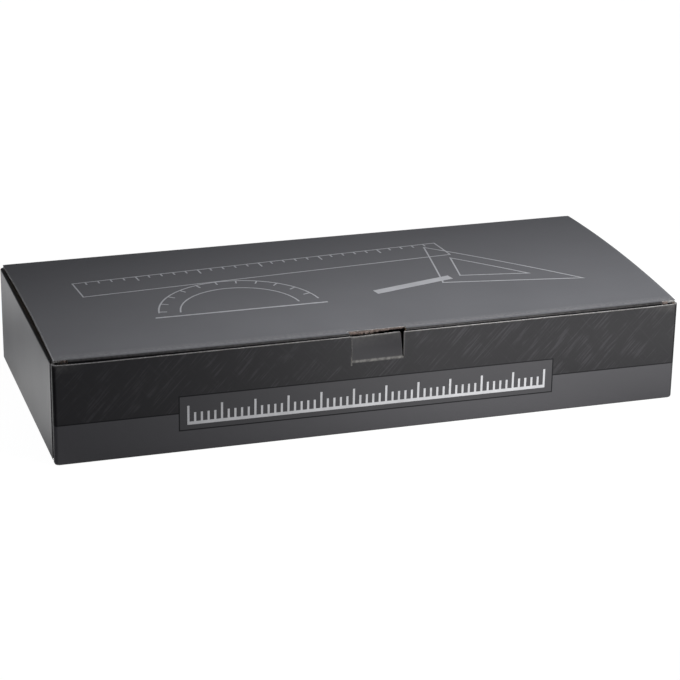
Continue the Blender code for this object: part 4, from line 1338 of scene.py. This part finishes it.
def ribbon(points, closed, width):
    """The two edges of a ribbon of one width along a line in plan, mitred at its corners."""
    line = [Vector(point) for point in points]
    left, right = [], []
    count = len(line)
    for index, here in enumerate(line):
        before = line[index - 1] if closed or index else here - (line[1] - here)
        after = line[(index + 1) % count] if closed or index < count - 1 else here + (here - before)
        first, second = (here - before).normalized(), (after - here).normalized()
        normal = Vector((-first.y - second.y, first.x + second.x)).normalized()
        reach = width / 2 / max(MITRE_LIMIT, normal.dot(Vector((-first.y, first.x))))
        left.append(here + normal * reach)
        right.append(here - normal * reach)
    if closed:
        left.append(left[0])
        right.append(right[0])
    return left, right


def fine_line(points, closed, longest=0.006):
    """A line with points close enough together to follow the bow of the lid."""
    line = [Vector(point) for point in points]
    if closed:
        line.append(line[0])
    found = [line[0]]
    for before, after in zip(line, line[1:]):
        count = max(1, math.ceil((after - before).length / longest))
        found += [before.lerp(after, step / count) for step in range(1, count + 1)]
    return found[:-1] if closed else found


def on_lid(point, proud):
    """A point in plan put on the bowed face of the lid, or just above it."""
    x, y = point
    return (x, y, LID_TOP + crown(y - lid_shift(x, y)) - SKIN + proud)


def draw_on_lid(name, strokes):
    """One closed layer of pale ink for each stroke: points, whether closed, and width."""
    corners, faces = [], []
    for points, closed, width in strokes:
        left, right = ribbon(fine_line(points, closed), closed, width)
        faces += swept_faces(4, len(left), first=len(corners), ends=not closed)
        for a, b in zip(left, right):
            corners += [on_lid(a, INK), on_lid(b, INK), on_lid(b, -INK), on_lid(a, -INK)]
    art = closed_solid(name, corners, faces, [pale_ink])
    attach(art, "lid")
    return art


def arc(centre, radius, start, end, count=40):
    """Points on an arc, its angles in degrees."""
    turns = [math.radians(start + (end - start) * step / count) for step in range(count + 1)]
    return [(centre[0] + radius * math.cos(turn), centre[1] + radius * math.sin(turn)) for turn in turns]


def turned(points, middle, degrees):
    """Points turned about a middle and moved there."""
    turn = Matrix.Rotation(math.radians(degrees), 2)
    return [tuple(Vector(middle) + turn @ Vector(point)) for point in points]


print("drawing tools ready")

# %% The strokes
RULE_MIDDLE = (-0.045, 0.036)
RULE_HALF = (0.150, 0.016)
RULE_TURN = 4.0
SQUARE_MIDDLE = (0.135, -0.006)
SQUARE_TURN = -9
ARC_MIDDLE = (-0.085, -0.046)
ARC_RADIUS = 0.062
ARC_BASE = 0.066
BAR_MIDDLE = (0.055, -0.028)
BAR_HALF = 0.034
BAR_TURN = 14
BAR_WIDTH = 0.0075

long, wide = RULE_HALF
border = [(-long, -wide), (long, -wide), (long, wide), (-long, wide)]
strokes = [(turned(border, RULE_MIDDLE, RULE_TURN), True, THIN)]
for number in range(1, 30):
    x = -long + number * 0.010
    reach = 0.0095 if number % 5 == 0 else 0.0055
    strokes.append((turned([(x, wide), (x, wide - reach)], RULE_MIDDLE, RULE_TURN), False, THIN))
for corners in ([(-0.052, -0.032), (0.058, -0.032), (-0.052, 0.052)],
                [(-0.036, -0.018), (0.018, -0.018), (-0.036, 0.023)]):
    strokes.append((turned(corners, SQUARE_MIDDLE, SQUARE_TURN), True, THIN))
for radius in (ARC_RADIUS, 0.046):
    strokes.append((arc(ARC_MIDDLE, radius, 8, 172), False, THIN))
base_x, base_y = ARC_MIDDLE
strokes.append(([(base_x - ARC_BASE, base_y), (base_x + ARC_BASE, base_y)], False, BOLD))
for angle in range(20, 171, 15):
    ends = [arc(ARC_MIDDLE, radius, angle, angle, 1)[0] for radius in (0.056, ARC_RADIUS)]
    strokes.append((ends, False, THIN))
strokes.append((turned([(-BAR_HALF, 0), (BAR_HALF, 0)], BAR_MIDDLE, BAR_TURN), False, BAR_WIDTH))
lid_art = draw_on_lid("lid_art", strokes)
print("strokes", len(strokes), "faces", len(lid_art.data.polygons))

# %% [markdown]
# What lies inside shows once the lid is open: a white glass panel on a painted stand, its marker and
# two foam blocks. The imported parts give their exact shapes. Here they get softened edges and real
# finishes: powder paint with its orange peel, ground glass edges, foam cells, moulded plastic.

# %% Finishes for the contents
def painted_metal():
    """Powder paint: an even colour with a fine orange peel."""
    material, tree, shader = new_finish("powder_paint", 0.42, 0.5)
    tone = blend_colours(tree, grain(tree, 30.0), (0.68, 0.68, 0.67), (0.74, 0.74, 0.73))
    tree.links.new(tone, shader.inputs["Base Color"])
    rough_surface(tree, shader, grain(tree, 900.0, detail=1.0), 0.00003)
    return material


def white_glass(name, light, dark):
    """Glass painted white behind; the edge shows its own green."""
    material, tree, shader = new_finish(name, 0.04, 0.5)
    tone = blend_colours(tree, grain(tree, 8.0, detail=1.0), dark, light)
    tree.links.new(tone, shader.inputs["Base Color"])
    smear = sum_node(tree, "MULTIPLY_ADD", grain(tree, 45.0, detail=4.0), 0.05, 0.02)
    tree.links.new(smear, shader.inputs["Roughness"])
    return material


def cell_foam():
    """Foam of welded beads: cells a few millimetres wide, with fine skin between them."""
    material, tree, shader = new_finish("bead_foam", 0.85, 0.3)
    on_object = tree.nodes.new("ShaderNodeTexCoord").outputs["Object"]
    cells = node(tree, "ShaderNodeTexVoronoi", feature="DISTANCE_TO_EDGE", scale=330.0, vector=on_object)
    seam = ramp(tree, cells.outputs["Distance"], 0.0, 0.16)
    tone = blend_colours(tree, seam, (0.66, 0.66, 0.64), (0.84, 0.84, 0.82))
    tree.links.new(tone, shader.inputs["Base Color"])
    rough_surface(tree, shader, sum_node(tree, "ADD", seam, grain(tree, 1800.0)), 0.0002)
    return material


def brushed_steel():
    """Bare zinc-coated sheet, brushed along X."""
    material, tree, shader = new_finish("brushed_zinc", 0.35, 0.5, 1.0)
    lines = grain(tree, 1500.0, detail=3.0, stretch=(0.02, 1, 1))
    tone = blend_colours(tree, lines, (0.44, 0.45, 0.46), (0.62, 0.63, 0.64))
    tree.links.new(tone, shader.inputs["Base Color"])
    tree.links.new(sum_node(tree, "MULTIPLY_ADD", lines, 0.2, 0.25), shader.inputs["Roughness"])
    return material


def moulded(name, light, dark, roughness, size, height):
    """Plastic, rubber or felt: two near tones over a grain of one size and height."""
    material, tree, shader = new_finish(name, roughness, 0.45)
    grains = grain(tree, size, detail=3.0)
    tree.links.new(blend_colours(tree, grains, dark, light), shader.inputs["Base Color"])
    rough_surface(tree, shader, grains, height)
    return material


print("recipes for the contents ready")

# %% Colours of the contents
powder_paint = painted_metal()
glass_face = white_glass("glass_face", (0.88, 0.90, 0.90), (0.84, 0.86, 0.86))
glass_rim = white_glass("glass_rim", (0.46, 0.66, 0.60), (0.34, 0.54, 0.48))
bead_foam = cell_foam()
brushed_zinc = brushed_steel()
tape_cloth = moulded("tape_cloth", (0.33, 0.34, 0.35), (0.24, 0.25, 0.26), 0.75, 1600.0, 0.00004)
black_rubber = moulded("black_rubber", (0.036, 0.036, 0.038), (0.022, 0.022, 0.023), 0.78, 2200.0, 0.00003)
white_plastic = moulded("white_plastic", (0.80, 0.80, 0.79), (0.76, 0.76, 0.75), 0.28, 700.0, 0.00001)
black_plastic = moulded("black_plastic", (0.022, 0.022, 0.024), (0.015, 0.015, 0.016), 0.30, 700.0, 0.00001)
ink_felt = moulded("ink_felt", (0.05, 0.05, 0.056), (0.02, 0.02, 0.022), 0.95, 3000.0, 0.0001)
print("finishes for the contents ready")

# %% [markdown]
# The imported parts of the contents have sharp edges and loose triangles. A copy of each is welded,
# its edges get a fine bevel, and the round ones are refined. The copy then takes the part's place.

# %% A dressed part
WELD = 0.00001
FLAT_ANGLE = math.radians(1)
BEVEL_ANGLE = math.radians(35)
bodies = {name: body for body, names in frame["record"]["behaviour"]["bodies"].items() for name in names}


def dressed(name, finish, edge, rounds=0):
    """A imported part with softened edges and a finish. rounds refines turned parts."""
    packed = frame["nodes"][name]
    mesh = packed.data.copy()
    mesh.name = name + "_dressed"
    mesh.transform(packed.matrix_world)
    thing = add_object(mesh.name, mesh)
    welded = bmesh.new()
    welded.from_mesh(mesh)
    bmesh.ops.remove_doubles(welded, verts=welded.verts, dist=WELD)
    bmesh.ops.dissolve_limit(welded, angle_limit=FLAT_ANGLE, verts=welded.verts, edges=welded.edges)
    bmesh.ops.recalc_face_normals(welded, faces=welded.faces)
    welded.to_mesh(mesh)
    welded.free()
    mesh.materials.clear()
    mesh.materials.append(finish)
    soften = thing.modifiers.new("soften", "BEVEL")
    soften.width = edge
    soften.segments = 3
    soften.limit_method = "ANGLE"
    soften.angle_limit = BEVEL_ANGLE
    if rounds:
        refine = thing.modifiers.new("refine", "SUBSURF")
        refine.levels = rounds
        refine.render_levels = rounds
    settle(thing)
    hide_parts(name)
    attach(thing, bodies[name])
    return thing


print("dressing tool ready")

# %% The contents
for label in ("left", "right"):
    dressed("end_block_" + label, bead_foam, 0.0008)
    for end_name in ("front", "rear"):
        dressed("foot_" + end_name + "_" + label, black_rubber, 0.0002, 1)
dressed("stand", powder_paint, 0.0002)
dressed("steel_backing", brushed_zinc, 0.0001)
for end_name in ("front", "rear"):
    dressed("tape_strip_" + end_name, tape_cloth, 0.0001)
glass = dressed("glass_panel", glass_face, 0.0001)
glass.data.materials.append(glass_rim)
slope_normal = max(glass.data.polygons, key=lambda face: face.area).normal.copy()
for face in glass.data.polygons:
    face.material_index = 1 if abs(face.normal.dot(slope_normal)) < 0.5 else 0
for name, finish, slot_name in (("marker_barrel", white_plastic, "marker_white"),
                                ("marker_end_plug", black_plastic, "marker_black"),
                                ("marker_nib_holder", black_plastic, "marker_black"),
                                ("marker_cap", black_plastic, "marker_black"),
                                ("marker_nib", ink_felt, "marker_felt"),
                                ("marker_reservoir", ink_felt, "marker_felt")):
    dressed(name, finish, 0.00025, 1)
print("contents dressed")

# %% [markdown]
# The carton is dark and has a sheen, so it mostly shows what is round it. The room is dim, with soft
# boxes on every side and one overhead, and the strongest high behind the carton, where the lid
# mirrors it. Each box is a glow in the world with a soft edge: a name, a direction, a half angle in
# degrees and a strength. The camera itself sees the room and the table as pure white.

# %% The room
ROOM_LEVEL = 0.02
ROOM_COLOUR = (0.95, 0.965, 1.035, 1.0)
SOFT_BOXES = {
    "back": ((0.32, 0.80, 0.50), 22, 0.74),
    "back_high": ((0.34, 0.70, 0.62), 17, 2.3),
    "left": ((-0.94, 0.0, 0.34), 24, 0.9),
    "top": ((0.0, 0.09, 1.0), 24, 0.9),
    "front": ((0.20, -0.85, 0.36), 24, 0.45),
    "front_left": ((-0.62, -0.70, 0.36), 24, 0.4),
    "front_right": ((0.78, -0.52, 0.36), 22, 0.5),
    "back_left": ((-0.70, 0.62, 0.36), 22, 0.5),
    "right": ((0.94, 0.10, 0.34), 24, 0.8),
}
BOX_INNER = math.cos(math.radians(5))
WHITE = (1, 1, 1, 1)


def seen_as_white(tree):
    """1 for the rays that show a background itself: those of the camera and through glass."""
    path = tree.nodes.new("ShaderNodeLightPath")
    return sum_node(tree, "MAXIMUM", path.outputs["Is Camera Ray"], path.outputs["Is Transmission Ray"])


def shown_instead(tree, usual, seen):
    """One shader for the light that reaches the carton, and another for what the camera sees."""
    chosen = tree.nodes.new("ShaderNodeMixShader")
    tree.links.new(seen_as_white(tree), chosen.inputs["Fac"])
    tree.links.new(usual.outputs[0], chosen.inputs[1])
    tree.links.new(seen.outputs[0], chosen.inputs[2])
    return chosen.outputs[0]


def light_room():
    """The world: a dim level with every soft box added to it."""
    world = bpy.data.worlds.new("room")
    world.use_nodes = True
    tree = world.node_tree
    tree.nodes.clear()
    direction = tree.nodes.new("ShaderNodeTexCoord").outputs["Generated"]
    level = ROOM_LEVEL
    for aim, outer, strength in SOFT_BOXES.values():
        facing = node(tree, "ShaderNodeVectorMath", operation="DOT_PRODUCT", vector=direction)
        facing.inputs[1].default_value = Vector(aim).normalized()
        inside = ramp(tree, facing.outputs["Value"], math.cos(math.radians(outer)), BOX_INNER)
        level = sum_node(tree, "MULTIPLY_ADD", inside, strength, level)
    room = node(tree, "ShaderNodeBackground", color=ROOM_COLOUR, strength=level)
    white = node(tree, "ShaderNodeBackground", color=WHITE, strength=1.0)
    out = tree.nodes.new("ShaderNodeOutputWorld")
    tree.links.new(shown_instead(tree, room, white), out.inputs[0])
    return world


scene.view_settings.view_transform = "Standard"
scene.world = light_room()
print("soft boxes:", ", ".join(SOFT_BOXES))

# %% [markdown]
# The front is lit from close by, so one lamp stands near it and hardly reaches the lid's far end. It
# is a soft disc, hidden from reflections, because its round mirror image would show on the glass.

# %% The near lamp
LAMP_PLACE = Vector((0.125, -0.44, 0.25))
LAMP_AIM = Vector((0.125, -0.10, 0.03))
LAMP_SIZE = 0.15
LAMP_POWER = 0.90
LAMP_SPREAD = math.radians(125)

lamp = bpy.data.lights.new("near", "AREA")
lamp.shape = "DISK"
lamp.size = LAMP_SIZE
lamp.spread = LAMP_SPREAD
lamp.energy = LAMP_POWER
holder = add_object("near", lamp)
holder.location = LAMP_PLACE
holder.rotation_mode = "QUATERNION"
holder.rotation_quaternion = (LAMP_AIM - LAMP_PLACE).to_track_quat("-Z", "Y")
holder.visible_glossy = False
print("lamp", LAMP_POWER, "W")

# %% [markdown]
# The table is a sheet of white paper. To the camera it is as white as the room, less a faint shadow
# where the carton stands. For the light that reaches the carton, the paper itself glows in bright
# pools, though no lamp shines there: painted light, each pool a name, a place, a reach and a strength.
# They are masks on the table's own Object coordinates.

# %% The table
TABLE_SIZE = 12.0
TABLE_TONE = 0.7
TABLE_GLOW = 0.975
SHADOW_TONE = 0.12
PAINTED_LIGHT_POOLS = {
    "front": ((0.12, -0.28), 0.24, 0.26),
    "front_right": ((0.38, -0.28), 0.24, 1.3),
    "front_far": ((0.10, -0.44), 0.14, 0.7),
    "left_front": ((-0.28, -0.06), 0.10, 0.38),
    "left": ((-0.295, 0.04), 0.155, 0.82),
    "left_back": ((-0.33, 0.30), 0.24, 0.85),
    "behind": ((0.02, 0.30), 0.26, 0.5),
    "right": ((0.36, 0.02), 0.18, 0.6),
}


def table_paper():
    """White paper: what the camera sees, and the painted glow of its pools, which lights the carton."""
    paper = bpy.data.materials.new("table_paper")
    paper.use_nodes = True
    tree = paper.node_tree
    tree.nodes.clear()
    on_object = tree.nodes.new("ShaderNodeTexCoord").outputs["Object"]
    level = 0.0
    for (x, y), reach, strength in PAINTED_LIGHT_POOLS.values():
        apart = node(tree, "ShaderNodeVectorMath", operation="DISTANCE", vector=on_object)
        apart.inputs[1].default_value = (x, y, 0)
        inside = ramp(tree, apart.outputs["Value"], reach, 0.0)
        level = sum_node(tree, "MULTIPLY_ADD", inside, strength, level)

    def glow_and_shade(strength, tone):
        glow = node(tree, "ShaderNodeEmission", color=WHITE, strength=strength)
        shade = node(tree, "ShaderNodeBsdfDiffuse", color=(tone, tone, tone, 1))
        both = tree.nodes.new("ShaderNodeAddShader")
        tree.links.new(glow.outputs[0], both.inputs[0])
        tree.links.new(shade.outputs[0], both.inputs[1])
        return both

    # The pools are painted light: the paper emits it there, though it is no lamp.
    usual = glow_and_shade(level, TABLE_TONE)
    seen = glow_and_shade(TABLE_GLOW, SHADOW_TONE)
    out = tree.nodes.new("ShaderNodeOutputMaterial")
    tree.links.new(shown_instead(tree, usual, seen), out.inputs[0])
    return paper


edge = TABLE_SIZE / 2
table_mesh = bpy.data.meshes.new("table")
table_corners = [(-edge, -edge, 0), (edge, -edge, 0), (edge, edge, 0), (-edge, edge, 0)]
table_mesh.from_pydata(table_corners, [], [(0, 1, 2, 3)])
table_mesh.materials.append(table_paper())
table = add_object("table", table_mesh)
print("table", TABLE_SIZE, "m, pools:", ", ".join(PAINTED_LIGHT_POOLS))
